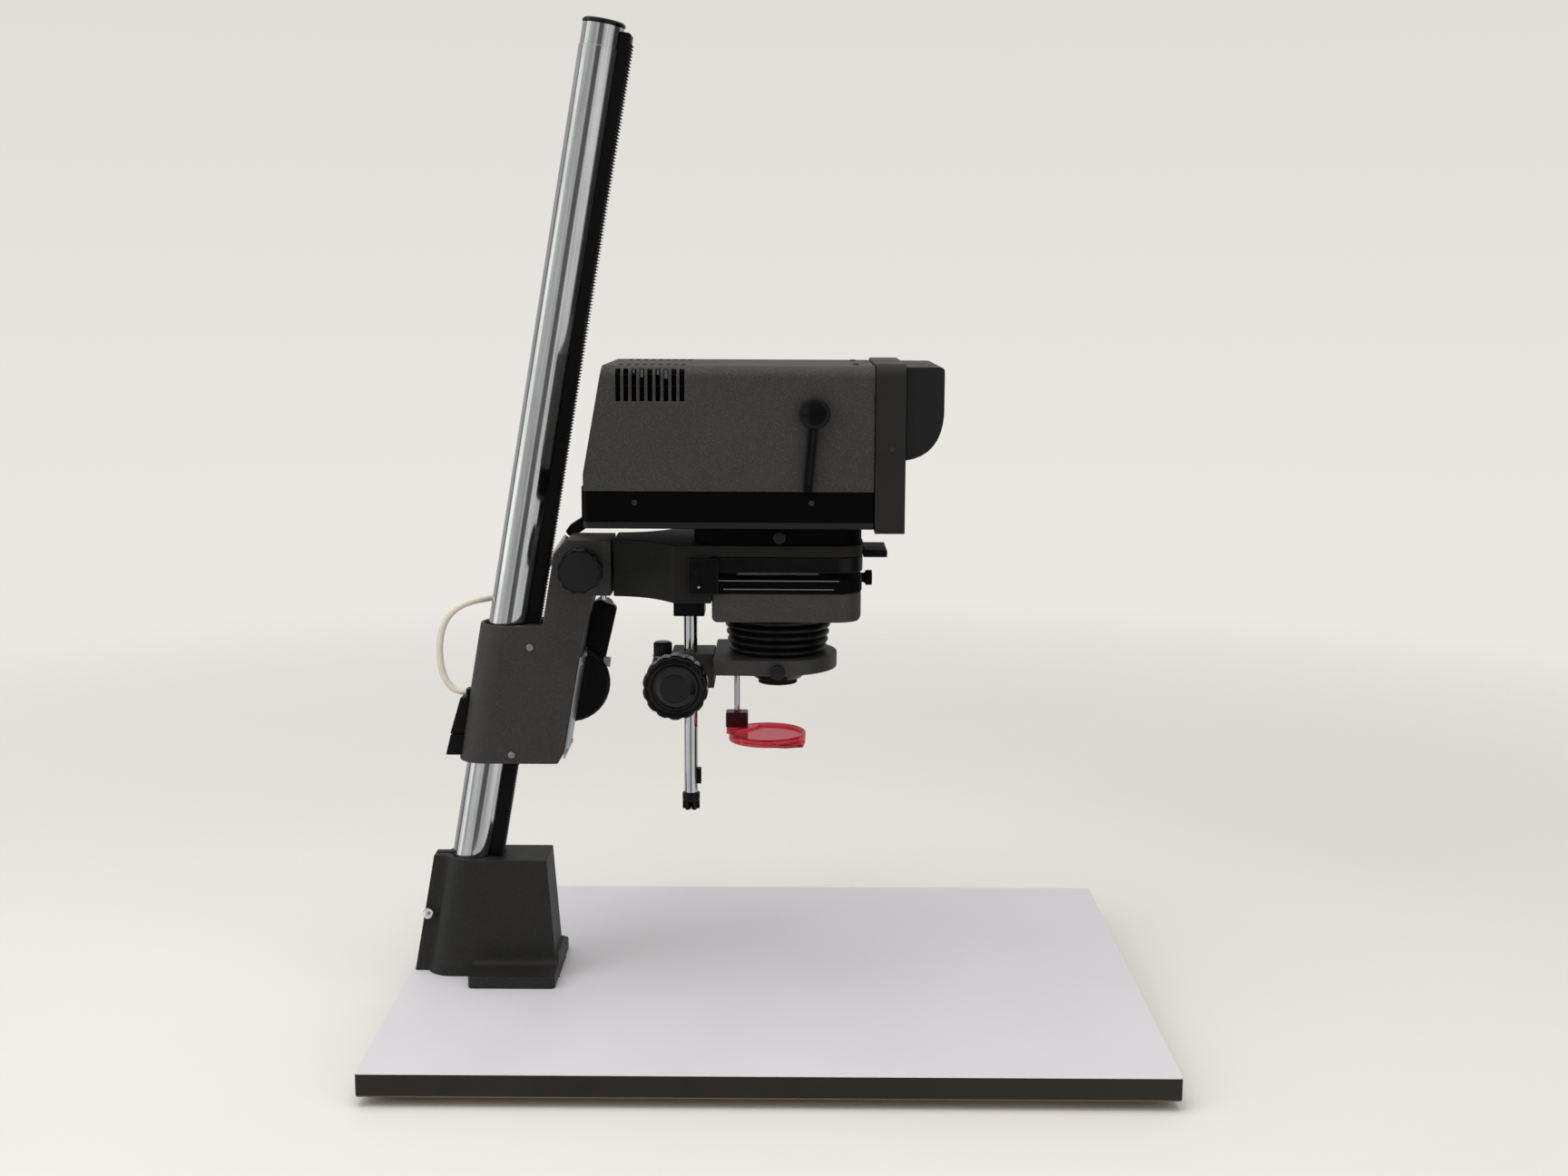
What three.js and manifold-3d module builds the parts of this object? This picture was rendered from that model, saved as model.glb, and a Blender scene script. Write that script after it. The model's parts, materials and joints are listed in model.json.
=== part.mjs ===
// A darkroom photo enlarger: a baseboard with a leaning rack column, a crank-driven carriage,
// a head arm that swings on it, a negative stage, a lens stage on a focusing rail and a lamphouse.
// Millimetres, +Z up. The lens side faces +X and the crank is on the +Y side. The origin is the
// centre of the plane that the four rubber feet stand on.
import * as THREE from "three";
import { mergeVertices } from "three/addons/utils/BufferGeometryUtils.js";
import Module from "manifold-3d";

const wasm = await Module();
wasm.setup();

// ---------------------------------------------------------------- driving dimensions
const BOARD = { length: 600, width: 430, thickness: 18 };
const FOOT = { radius: 11, height: 8, inset: 32 };
const BOARD_TOP = FOOT.height + BOARD.thickness;

// The column leans forwards. Its own frame has u forwards across it and w up along it, from
// where the tube's axis meets the board's top. All heights below count from the board's top.
const LEAN = THREE.MathUtils.degToRad(9.87);
const COLUMN_X = -264.9;
const TUBE = { radius: 16.75, wall: 2, foot: 7, step: 757.5, stepRadius: 16.3, top: 774 };
const CAP_TOP = 778.3;
const RACK = { back: 12, tip: 24.75, halfWidth: 9, foot: 8, top: 771 };

// Drive train: rack, pinion and crank gear share one module.
const MODULE = 0.8;
const PITCH = Math.PI * MODULE;
const PINION = { teeth: 32, width: 16 };
const CRANK_GEAR = { teeth: 11, width: 14 };
const ADDENDUM = { rack: 0.8, gear: 0.5 };
const DEDENDUM = { rack: 0.9, gear: 1.0 };
const DRIVE_W = 251.2;
const PINION_U = RACK.tip - ADDENDUM.rack + (MODULE * PINION.teeth) / 2;
const CRANK_U = PINION_U + (MODULE * (PINION.teeth + CRANK_GEAR.teeth)) / 2;
const SHAFT_RADIUS = 3;

const GAP = 0.3;
const CLEAR = { tube: 0.25, shaft: 0.3 };

const FOOT_CASTING = { top: 99.6, half: 22.4, lugHalf: 49.5, lug: 9.6, lugRear: -246.5, lugFront: -175.5 };
const CASING = { half: 23, bottom: 181, top: 294.5, frontU: 62 };
const FRONT_PLATE = { half: 22.8, thickness: 1.4, low: 199.5, high: 284.4 };
const BLOCK = { rear: -174.5, front: -129, bottom: 319.5, top: 364.5, chamfer: 11 };
const SWING_Z = 342;
const SPIGOT_RADIUS = 10;
const CRANK = { hubRadius: 33.3, reach: 73.5, rootHalf: 24.2, tipHalf: 11, lean: 23.6, gripInset: 11 };

const LENS_X = 4.2;
const STAGE = { rear: -77, front: 71, half: 56, corner: 20, split: -47.6 };
const LEVELS = { lower: 304, carrier: 327.5, slot: 338.5, frame: 343.6, deck: 356, top: 365 };
const LIGHT_HALF = 35;

const RAIL = { x: -66.8, radius: 5.5, bottom: 152.5, top: 329 };
const FOCUS_SHAFT = { x: -76, z: 252, radius: 3.4 };
const FOCUS_KNOB = { radius: 26, lobes: 14, near: -60, back: -40 };
const LENS_PLATE = { rear: -46.7, half: 48, bottom: 259.8, top: 272 };
const BELLOWS = {
  top: 303.7, bottom: 272.3, topRadius: 44.4, bottomRadius: 39.5, pleats: 5, fold: 5, wall: 2.4,
};
const FILTER = { rodX: -29.5, rodY: 16, discX: -4.2, radius: 31.5, bottom: 197.5, top: 204, bracketTop: 217 };

const LAMP = {
  rear: -145, front: 78, half: 72, base: 380, seam: 408.5, top: 504.5, knee: 422, slantX: -129.9,
};
const SKIN = 2.2;
const VENT = { first: -117.5, step: 6.08, width: 3.6, count: 9, bottom: 477.4, top: 502 };
const BEZEL = { rear: 78.4, front: 101.5, half: 74, bottom: 377, top: 506.5 };
const HOOD = { front: 130.6, half: 69, bottom: 433, bend: 468, top: 504 };
const DIAL = { x: 104.5, z: 469, radius: 25, width: 8, spacing: 32 };
const LEVER = { x: 32, z: 469, hubRadius: 11.7, reach: 60, width: 9, lean: 4.8 };

const LEAD_RADIUS = 2.75;
// The lead's free route, chosen by hand: out of the plug, round behind the column and up to the
// angled lamp connector on the far side.
const LEAD_ROUTE = [
  [-250.3, 0, 235.9], [-255.5, 0, 236.3], [-260, 0, 237.9], [-263.6, 0, 240.8], [-266.6, 0, 245],
  [-268.9, 0, 250.4], [-270.5, 0, 257], [-271.3, 0, 264.2], [-271.5, 0, 270.5], [-271.1, 0, 277],
  [-269.7, 0, 284.8], [-267.3, 0, 292], [-263.4, 0, 298.6], [-257.6, 0.6, 304.4], [-250.2, 2, 308.4],
  [-241.5, 6, 310.6], [-231, 14.5, 311.5], [-219, 21, 314], [-206, 25, 318.5], [-195, 28, 326],
  [-186, 31.5, 336.5], [-178.5, 34.5, 348], [-171.5, 36, 358.5],
];

// ---------------------------------------------------------------- finishes
const finish = (color, roughness, metalness = 0, extra = {}) =>
  new THREE.MeshStandardMaterial({ color, roughness, metalness, ...extra });

const FINISH = {
  laminate: finish(0xc9cbdc, 0.45),
  rubber: finish(0x1b1b1b, 0.85),
  texturedPaint: finish(0x3d3a38, 0.62),
  footPaint: finish(0x2c2c2b, 0.6),
  blackPlastic: finish(0x0d0d0e, 0.35),
  mattBlack: finish(0x141415, 0.6),
  chrome: finish(0xd6d8da, 0.12, 1),
  steel: finish(0xa9abae, 0.35, 1),
  brass: finish(0xb5964a, 0.35, 1),
  nylon: finish(0xd9d4c6, 0.55),
  cream: finish(0xe8e0cd, 0.5),
  bellowsCloth: finish(0x0c0c0c, 0.7),
  redAcrylic: finish(0xb01325, 0.12, 0, { transparent: true, opacity: 0.55 }),
  darkRed: finish(0x4a0b14, 0.3),
  glass: finish(0xdfeaf0, 0.05, 0, { transparent: true, opacity: 0.35 }),
  white: finish(0xf1f0ea, 0.6),
  reflector: finish(0xdadbd6, 0.2, 1),
  yellow: finish(0xe3c62a, 0.4),
  magenta: finish(0xc02a84, 0.4),
  cyan: finish(0x2a9cc0, 0.4),
};

// ---------------------------------------------------------------- solid helpers
const toSolid = (geometry) => {
  const bare = geometry.index ? geometry.toNonIndexed() : geometry.clone();
  bare.deleteAttribute("normal");
  bare.deleteAttribute("uv");
  const merged = mergeVertices(bare, 1e-4);
  return new wasm.Manifold(new wasm.Mesh({
    numProp: 3,
    vertProperties: merged.attributes.position.array,
    triVerts: new Uint32Array(merged.index.array),
  }));
};

const toGeometry = (solid) => {
  const mesh = solid.getMesh();
  const geometry = new THREE.BufferGeometry();
  geometry.setAttribute("position", new THREE.BufferAttribute(mesh.vertProperties, 3));
  geometry.setIndex(new THREE.BufferAttribute(mesh.triVerts, 1));
  const flat = geometry.toNonIndexed();
  flat.computeVertexNormals();
  return flat;
};

const join = (...pieces) => toGeometry(pieces.map(toSolid).reduce((all, next) => all.add(next)));
const cut = (body, ...tools) =>
  toGeometry(tools.map(toSolid).reduce((rest, tool) => rest.subtract(tool), toSolid(body)));
const common = (a, b) => toGeometry(toSolid(a).intersect(toSolid(b)));

const block = (x0, x1, y0, y1, z0, z1) =>
  new THREE.BoxGeometry(x1 - x0, y1 - y0, z1 - z0).translate((x0 + x1) / 2, (y0 + y1) / 2, (z0 + z1) / 2);

const outline = (points) => new THREE.Shape(points.map(([a, b]) => new THREE.Vector2(a, b)));

const extrude = (shape, depth, curveSegments = 8) =>
  new THREE.ExtrudeGeometry(shape, { depth, bevelEnabled: false, curveSegments });

// A plan in X and Y raised from z0 to z1.
const prismZ = (shape, z0, z1, segments) => extrude(shape, z1 - z0, segments).translate(0, 0, z0);
// A side outline in X and Z pushed across from y0 to y1.
const prismY = (shape, y0, y1, segments) =>
  extrude(shape, y1 - y0, segments).rotateX(Math.PI / 2).translate(0, y1, 0);
// A front outline in Y and Z pushed along from x0 to x1.
const AHEAD = new THREE.Matrix4().makeBasis(
  new THREE.Vector3(0, 1, 0), new THREE.Vector3(0, 0, 1), new THREE.Vector3(1, 0, 0));
const prismX = (shape, x0, x1, segments) =>
  extrude(shape, x1 - x0, segments).applyMatrix4(AHEAD).translate(x0, 0, 0);

// Turned pieces: a profile of [radius, height] points round an axis. Solid profiles start and end
// on the axis, rings close on themselves.
const turnedY = (profile, segments = 24) =>
  new THREE.LatheGeometry(profile.map(([r, h]) => new THREE.Vector2(r, h)), segments);
const turnedZ = (profile, segments) => turnedY(profile, segments).rotateX(Math.PI / 2);
const turnedX = (profile, segments) => turnedY(profile, segments).rotateZ(-Math.PI / 2);
const rod = (radius, low, high) => [[0, low], [radius, low], [radius, high], [0, high]];
const ring = (inner, outer, low, high) =>
  [[inner, low], [outer, low], [outer, high], [inner, high], [inner, low]];

// Puts a piece made in the column's own frame where the column stands.
const leaned = (geometry) => geometry.rotateY(LEAN).translate(COLUMN_X, 0, 0);
const axisX = (z) => COLUMN_X + z * Math.tan(LEAN);

const roundedPlan = (x0, x1, half, frontRadius, rearRadius = 0) => {
  const plan = new THREE.Shape();
  plan.moveTo(x0 + rearRadius, -half);
  plan.lineTo(x1 - frontRadius, -half);
  plan.absarc(x1 - frontRadius, -half + frontRadius, frontRadius, -Math.PI / 2, 0);
  plan.lineTo(x1, half - frontRadius);
  plan.absarc(x1 - frontRadius, half - frontRadius, frontRadius, 0, Math.PI / 2);
  plan.lineTo(x0 + rearRadius, half);
  if (rearRadius) {
    plan.absarc(x0 + rearRadius, half - rearRadius, rearRadius, Math.PI / 2, Math.PI);
    plan.absarc(x0 + rearRadius, -half + rearRadius, rearRadius, Math.PI, 1.5 * Math.PI);
  }
  return plan;
};

// A round outline with shallow finger scallops.
const scalloped = (radius, lobes, depth, steps = 3) => {
  const count = lobes * steps;
  return outline(Array.from({ length: count }, (_, i) => {
    const angle = (2 * Math.PI * i) / count;
    const r = radius - (depth * (1 - Math.cos(lobes * angle))) / 2;
    return [r * Math.cos(angle), r * Math.sin(angle)];
  }));
};

// A gear outline with a tooth at the angle of turn.
const gearOutline = (teeth, turn) => {
  const pitchRadius = (MODULE * teeth) / 2;
  return outline(Array.from({ length: teeth * 2 }, (_, i) => {
    const angle = turn + (Math.PI * i) / teeth;
    const r = pitchRadius + (i % 2 ? -DEDENDUM.gear : ADDENDUM.gear);
    return [r * Math.cos(angle), r * Math.sin(angle)];
  }));
};

// ---------------------------------------------------------------- scene graph
const enlarger = new THREE.Group();
const onBoard = new THREE.Group();
onBoard.position.z = BOARD_TOP;
enlarger.add(onBoard);
const alongColumn = new THREE.Group();
alongColumn.position.x = COLUMN_X;
alongColumn.rotation.y = LEAN;
onBoard.add(alongColumn);

const add = (name, geometry, material, parent = onBoard, position = [0, 0, 0]) => {
  const mesh = new THREE.Mesh(geometry, material);
  mesh.name = name;
  mesh.position.set(...position);
  parent.add(mesh);
  return mesh;
};

// ---------------------------------------------------------------- base and column
function buildBase() {
  const halfX = BOARD.length / 2;
  const halfY = BOARD.width / 2;
  add("baseboard", block(-halfX, halfX, -halfY, halfY, -BOARD.thickness, 0), FINISH.laminate);
  let index = 1;
  for (const sx of [-1, 1]) {
    for (const sy of [-1, 1]) {
      const pad = turnedZ([[0, 0], [FOOT.radius - 1, 0], [FOOT.radius, FOOT.height], [0, FOOT.height]], 20);
      const place = [sx * (halfX - FOOT.inset), sy * (halfY - FOOT.inset), -BOARD_TOP];
      add(`board_foot_${index}`, pad, FINISH.rubber, onBoard, place);
      index += 1;
    }
  }
}

function buildColumnFoot() {
  const { top, half, lugHalf, lug, lugRear, lugFront } = FOOT_CASTING;
  const core = prismY(outline([
    [axisX(0), 0], [-175, 0], [-178, 15], [-184.4, top], [axisX(top), top]]), -half, half);
  const collar = common(leaned(turnedZ(rod(half, -20, 130), 32)), block(-300, -200, -30, 30, 0, top));
  const flange = prismY(outline([[-297, 0], [axisX(0), 0], [axisX(top), top], [-279, top]]), -8.5, 8.5);
  const lugSection = prismX(outline([
    [-lugHalf, 0], [lugHalf, 0], [lugHalf, lug], [half + 4, 11.5], [half + 1, 14], [half, 20],
    [-half, 20], [-half - 1, 14], [-half - 4, 11.5], [-lugHalf, lug]]), lugRear, lugFront);
  const lugs = common(lugSection, prismZ(roundedPlan(lugRear, lugFront, lugHalf, 4, 4), -1, 21, 4));
  const bore = leaned(turnedZ(rod(TUBE.radius + CLEAR.tube, TUBE.foot - GAP, 130), 32));
  const slotHalf = RACK.halfWidth + GAP;
  const rackSlot = leaned(block(10, RACK.tip + GAP, -slotHalf, slotHalf, RACK.foot - GAP, 130));
  const split = block(-310, axisX(0) + 2, -1.5, 1.5, -1, top + 1);
  const boltHole = turnedY(rod(2.5, -20, 20), 16).translate(-284, 0, 50);
  const body = join(core, collar, flange, lugs);
  add("column_foot", cut(body, bore, rackSlot, split, boltHole), FINISH.footPaint);

  const bolt = turnedY([
    [0, -14], [3, -13.4], [5, -11], [5, -8.8], [2.2, -8.8], [2.2, 8.8], [5, 8.8], [5, 13], [0, 13]], 16);
  add("foot_clamp_bolt", bolt, FINISH.chrome, onBoard, [-284, 0, 50]);
}

function buildColumn() {
  const inner = TUBE.radius - TUBE.wall;
  const tube = turnedZ([
    [inner, TUBE.foot], [TUBE.radius, TUBE.foot], [TUBE.radius, TUBE.step], [TUBE.stepRadius, TUBE.step],
    [TUBE.stepRadius, TUBE.top], [inner, TUBE.top], [inner, TUBE.foot]], 32);
  add("column_tube", tube, FINISH.chrome, alongColumn);
  const plug = inner - GAP;
  const cap = turnedZ([
    [0, 762], [plug, 762], [plug, TUBE.top + GAP], [17, TUBE.top + GAP], [17, 776.6], [15.4, 777.8],
    [0, CAP_TOP]], 24);
  add("column_cap", cap, FINISH.blackPlastic, alongColumn);

  // Rack: tooth gaps lie at the drive's height plus whole pitches, so the pinion is in mesh.
  const rootU = RACK.tip - ADDENDUM.rack - DEDENDUM.rack;
  const first = Math.ceil((RACK.foot + 2 - DRIVE_W) / PITCH);
  const last = Math.floor((RACK.top - 2 - DRIVE_W) / PITCH);
  const side = [[RACK.back, RACK.foot], [rootU, RACK.foot]];
  for (let i = first; i < last; i += 1) {
    const gapW = DRIVE_W + i * PITCH;
    side.push([rootU, gapW], [RACK.tip, gapW + PITCH / 2]);
  }
  side.push([rootU, DRIVE_W + last * PITCH], [rootU, RACK.top], [RACK.back, RACK.top]);
  const bar = prismY(outline(side), -RACK.halfWidth, RACK.halfWidth);
  const seat = turnedZ(rod(TUBE.radius + CLEAR.tube, -10, 800), 48);
  add("column_rack", cut(bar, seat), FINISH.mattBlack, alongColumn);
}

// ---------------------------------------------------------------- carriage
function buildCarriage() {
  const { half, bottom, top, frontU } = CASING;
  const side = outline([
    [axisX(bottom), bottom], [-174, bottom], [-169.2, 189], [-150.4, 295.8], [-143.5, BLOCK.bottom],
    [BLOCK.front, BLOCK.bottom], [BLOCK.front, BLOCK.top], [BLOCK.rear + BLOCK.chamfer, BLOCK.top],
    [BLOCK.rear, BLOCK.top - BLOCK.chamfer], [-184.6, top], [axisX(top), top]]);
  const sleeve = common(leaned(turnedZ(rod(half, 120, 360), 40)), block(-300, -180, -30, 30, bottom, top));
  const shell = join(prismY(side, -half, half), sleeve);
  const bore = leaned(turnedZ(rod(20, 100, 400), 40));
  const rackWay = leaned(block(10, 27.5, -10.5, 10.5, 100, 330));
  const gearRoom = leaned(block(14, frontU - 2.4, -20, 20, 198, 294));
  const window = leaned(block(frontU - 5, frontU + 6, -17, 17, 206, 262));
  const shaftHole = turnedY(rod(SHAFT_RADIUS + CLEAR.shaft, -22, 30), 20);
  const pinionHole = leaned(shaftHole.clone().translate(PINION_U, 0, DRIVE_W));
  const crankHole = leaned(shaftHole.translate(CRANK_U, 0, DRIVE_W));
  const swingBore = turnedX(rod(SPIGOT_RADIUS + GAP, -171, -120), 28).translate(0, 0, SWING_Z);
  const knobHole = turnedY(rod(4.4, -30, -5), 16).translate(-152, 0, SWING_Z);
  const pinHole = turnedZ(rod(2.3, 310, 331), 12).translate(-136, -14, 0);
  add("carriage_housing", cut(shell, bore, rackWay, gearRoom, window, pinionHole, crankHole, swingBore,
    knobHole, pinHole), FINISH.texturedPaint);

  const { half: plateHalf, thickness, low: plateLow, high: plateHigh } = FRONT_PLATE;
  const plate = block(frontU + GAP, frontU + GAP + thickness, -plateHalf, plateHalf, plateLow, plateHigh);
  add("carriage_front_plate", plate, FINISH.steel, alongColumn);

  // Split nylon bushes guide the carriage on the tube, open in front for the rack.
  const rackGap = () => block(8, 30, -11.5, 11.5, 0, 600);
  const bush = (low, high) => cut(turnedZ(ring(TUBE.radius + CLEAR.tube, 19.7, low, high), 32), rackGap());
  add("guide_bush_lower", bush(192, 210), FINISH.nylon, alongColumn);
  add("guide_bush_upper", bush(274, 292), FINISH.nylon, alongColumn);

  // Socket and plug of the lamp lead stand against the casing's round back.
  const backOfCasing = () => leaned(turnedZ(rod(half + GAP, 150, 330), 40));
  const socket = prismY(outline([[-266.8, 185], [-236, 185], [-236, 202], [-262.6, 202]]), -10, 10);
  add("cable_socket", cut(socket, backOfCasing()), FINISH.blackPlastic);
  const plug = prismY(outline([[-263.2, 202.3], [-236, 202.3], [-236, 232.4], [-254.2, 232.4]]), -8.5, 8.5);
  const gland = block(-250, -236, -4.8, 4.8, 232, 239);
  add("lead_plug", cut(join(plug, gland), backOfCasing()), FINISH.blackPlastic);

  const indexPin = turnedZ([
    [0, 315], [2.6, 315], [2.6, 319], [2, 319], [2, 330], [0, 330]], 16);
  add("index_pin", indexPin, FINISH.chrome, onBoard, [-136, -14, 0]);

  const knob = join(
    prismY(scalloped(18.5, 12, 1.2), -45, -25),
    turnedY([[0, -25.2], [16, -25.2], [15, -23.3], [0, -23.3]]),
    turnedY(rod(4, -40, -10.4), 16));
  add("tilt_clamp_knob", knob, FINISH.blackPlastic, onBoard, [-152, 0, SWING_Z]);
}

function buildDrive() {
  const pinion = join(
    prismY(gearOutline(PINION.teeth, 0), -PINION.width / 2, PINION.width / 2),
    turnedY(rod(SHAFT_RADIUS, -21.7, 21.7), 20));
  add("drive_pinion", pinion, FINISH.brass, alongColumn, [PINION_U, 0, DRIVE_W]);
  const crankShaft = join(
    prismY(gearOutline(CRANK_GEAR.teeth, 0), -CRANK_GEAR.width / 2, CRANK_GEAR.width / 2),
    turnedY(rod(SHAFT_RADIUS, -21.7, 31), 20));
  add("crank_shaft_gear", crankShaft, FINISH.steel, alongColumn, [CRANK_U, 0, DRIVE_W]);

  const hub = turnedY([[0, 24.3], [31.5, 24.3], [33.3, 26], [33.3, 31], [30, 34], [0, 34]], 36);
  const { reach, rootHalf, tipHalf, gripInset } = CRANK;
  const arm = prismY(outline([
    [-rootHalf, 0], [-rootHalf, -10], [rootHalf, -10], [rootHalf, 0], [tipHalf, reach - 2],
    [tipHalf - 2, reach], [-tipHalf + 6, reach], [-tipHalf, reach - 6]]), 31.5, 40);
  const gripPin = turnedY(rod(3, 38, 66), 14).translate(0, 0, reach - gripInset);
  const shaftBore = turnedY(rod(SHAFT_RADIUS + CLEAR.shaft, 20, 31.3), 20);
  const crank = new THREE.Group();
  crank.position.set(
    COLUMN_X + CRANK_U * Math.cos(LEAN) + DRIVE_W * Math.sin(LEAN), 0,
    DRIVE_W * Math.cos(LEAN) - CRANK_U * Math.sin(LEAN));
  crank.rotation.y = THREE.MathUtils.degToRad(CRANK.lean);
  onBoard.add(crank);
  add("crank_arm", cut(join(hub, arm, gripPin), shaftBore), FINISH.blackPlastic, crank);
  const grip = turnedY([[3.3, 40.4], [8, 40.4], [9.5, 46], [8.6, 58], [9.5, 65], [7, 68.5], [3.3, 68.5],
    [3.3, 40.4]], 16);
  add("crank_grip", grip, FINISH.blackPlastic, crank, [0, 0, reach - gripInset]);
}

function buildLead() {
  const stations = LEAD_ROUTE.map((p) => new THREE.Vector3(...p));
  const route = new THREE.CatmullRomCurve3(stations, false, "centripetal");
  const section = outline(Array.from({ length: 8 }, (_, i) => [
    LEAD_RADIUS * Math.cos((i * Math.PI) / 4), LEAD_RADIUS * Math.sin((i * Math.PI) / 4)]));
  const lead = new THREE.ExtrudeGeometry(section, { steps: 40, extrudePath: route, bevelEnabled: false });
  add("lamp_lead", lead, FINISH.cream);
}

// ---------------------------------------------------------------- head arm and negative stage
function lightWell(halfSize = LIGHT_HALF, low = 290, high = 420) {
  return block(LENS_X - halfSize, LENS_X + halfSize, -halfSize, halfSize, low, high);
}

function buildHeadArm() {
  const { rear, front, half, corner, split } = STAGE;
  const flare = new THREE.Shape();
  flare.moveTo(-127, -23);
  flare.bezierCurveTo(-104, -24, -92, -34, rear, -half);
  flare.lineTo(split, -half);
  flare.lineTo(split, half);
  flare.lineTo(rear, half);
  flare.bezierCurveTo(-92, 34, -104, 24, -127, 23);
  const arm = prismZ(flare, 319.3, LEVELS.top, 6);
  const deck = prismZ(roundedPlan(rear + 1, front, half, corner), LEVELS.deck, LEVELS.top, 6);
  const spigot = turnedX(rod(SPIGOT_RADIUS, -168, -120), 28).translate(0, 0, SWING_Z);
  const railHole = turnedZ(rod(RAIL.radius + GAP, 310, RAIL.top + GAP), 20).translate(RAIL.x, 0, 0);
  const leverNotch = block(58, 80, -26, 26, LEVELS.deck - 1, LEVELS.top + 1);
  const fingerSlots = [-1, 1].map((s) =>
    block(42, 60, s * 22.5 - 3.4, s * 22.5 + 3.4, LEVELS.deck - 1, LEVELS.top + 1));
  const lightening = block(-118, -84, -17, 17, 300, 350);
  add("head_arm", cut(join(arm, deck, spigot), lightWell(), railHole, leverNotch, ...fingerSlots, lightening),
    FINISH.texturedPaint);

  const frame = prismZ(roundedPlan(split + 1.9, front, half, corner), LEVELS.frame, LEVELS.deck - GAP, 6);
  const leverRoom = block(56, 80, -26.5, 26.5, 349, 360);
  add("upper_carrier_frame", cut(frame, lightWell(), leverRoom), FINISH.blackPlastic);

  const side = new THREE.Shape();
  const bend = 4.5;
  side.moveTo(split + GAP, LEVELS.carrier - GAP);
  side.lineTo(split + GAP, LEVELS.lower + bend);
  side.absarc(split + GAP + bend, LEVELS.lower + bend, bend, Math.PI, 1.5 * Math.PI);
  side.absarc(front - 1 - bend, LEVELS.lower + bend, bend, 1.5 * Math.PI, 2 * Math.PI);
  side.lineTo(front - 1, LEVELS.carrier - GAP);
  const lower = common(
    prismY(side, -half + 2, half - 2, 4),
    prismZ(roundedPlan(split, front - 1, half - 2, corner), LEVELS.lower - 1, LEVELS.carrier, 6));
  const lightHole = turnedZ(rod(34, 290, 340), 32).translate(LENS_X, 0, 0);
  add("lower_stage", cut(lower, lightHole), FINISH.texturedPaint);

  add("stage_latch", block(-65.7, -41.8, -60, -56.3, 327, 355.4), FINISH.blackPlastic);

  const lever = join(
    block(71.8, 91, -25, 25, 352, 357.6),
    block(61, 73, -25, 25, 356.6, 360.5),
    ...[-1, 1].map((s) => block(44, 62, s * 22.5 - 2.5, s * 22.5 + 2.5, 356.6, 364.7)));
  add("lift_lever", lever, FINISH.mattBlack);
}

function buildNegativeCarrier() {
  const { front, half, corner, split } = STAGE;
  const plan = roundedPlan(split + 2.6, front - 0.5, half - 0.5, corner);
  const plate = prismZ(plan, LEVELS.carrier, LEVELS.slot, 6);
  const knob = turnedX([[0, 68], [4, 68], [4, 74], [6.2, 75], [6.2, 80], [0, 80]], 20).translate(0, 0, 332);
  const window = lightWell(30, 320, 345);
  const negativeSeat = lightWell(33, 334, 345);
  add("negative_carrier", cut(join(plate, knob), window, negativeSeat), FINISH.blackPlastic);
}

// ---------------------------------------------------------------- focusing rail and lens stage
function buildRail() {
  // The rail carries a small stop block that the focusing block comes down on.
  const rail = join(turnedZ(rod(RAIL.radius, RAIL.bottom, RAIL.top), 28), block(4, 8.4, -3, 3, 160, 173));
  add("focus_rail", rail, FINISH.chrome, onBoard, [RAIL.x, 0, 0]);
  const collar = cut(
    block(-80, -55, -12, 12, 301.3, 319),
    turnedZ(rod(RAIL.radius + GAP, 290, 330), 24).translate(RAIL.x, 0, 0));
  add("rail_collar", collar, FINISH.texturedPaint);
  const fins = [[0, 138.5], [7, 138.5], [7, 141], [5.6, 141], [5.6, 143.5], [7.4, 143.5], [7.4, 146],
    [5.6, 146], [5.6, 148.5], [7.4, 148.5], [7.4, RAIL.bottom - GAP], [0, RAIL.bottom - GAP]];
  add("rail_end_cap", turnedZ(fins, 14), FINISH.blackPlastic, onBoard, [RAIL.x, 0, 0]);
}

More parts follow.
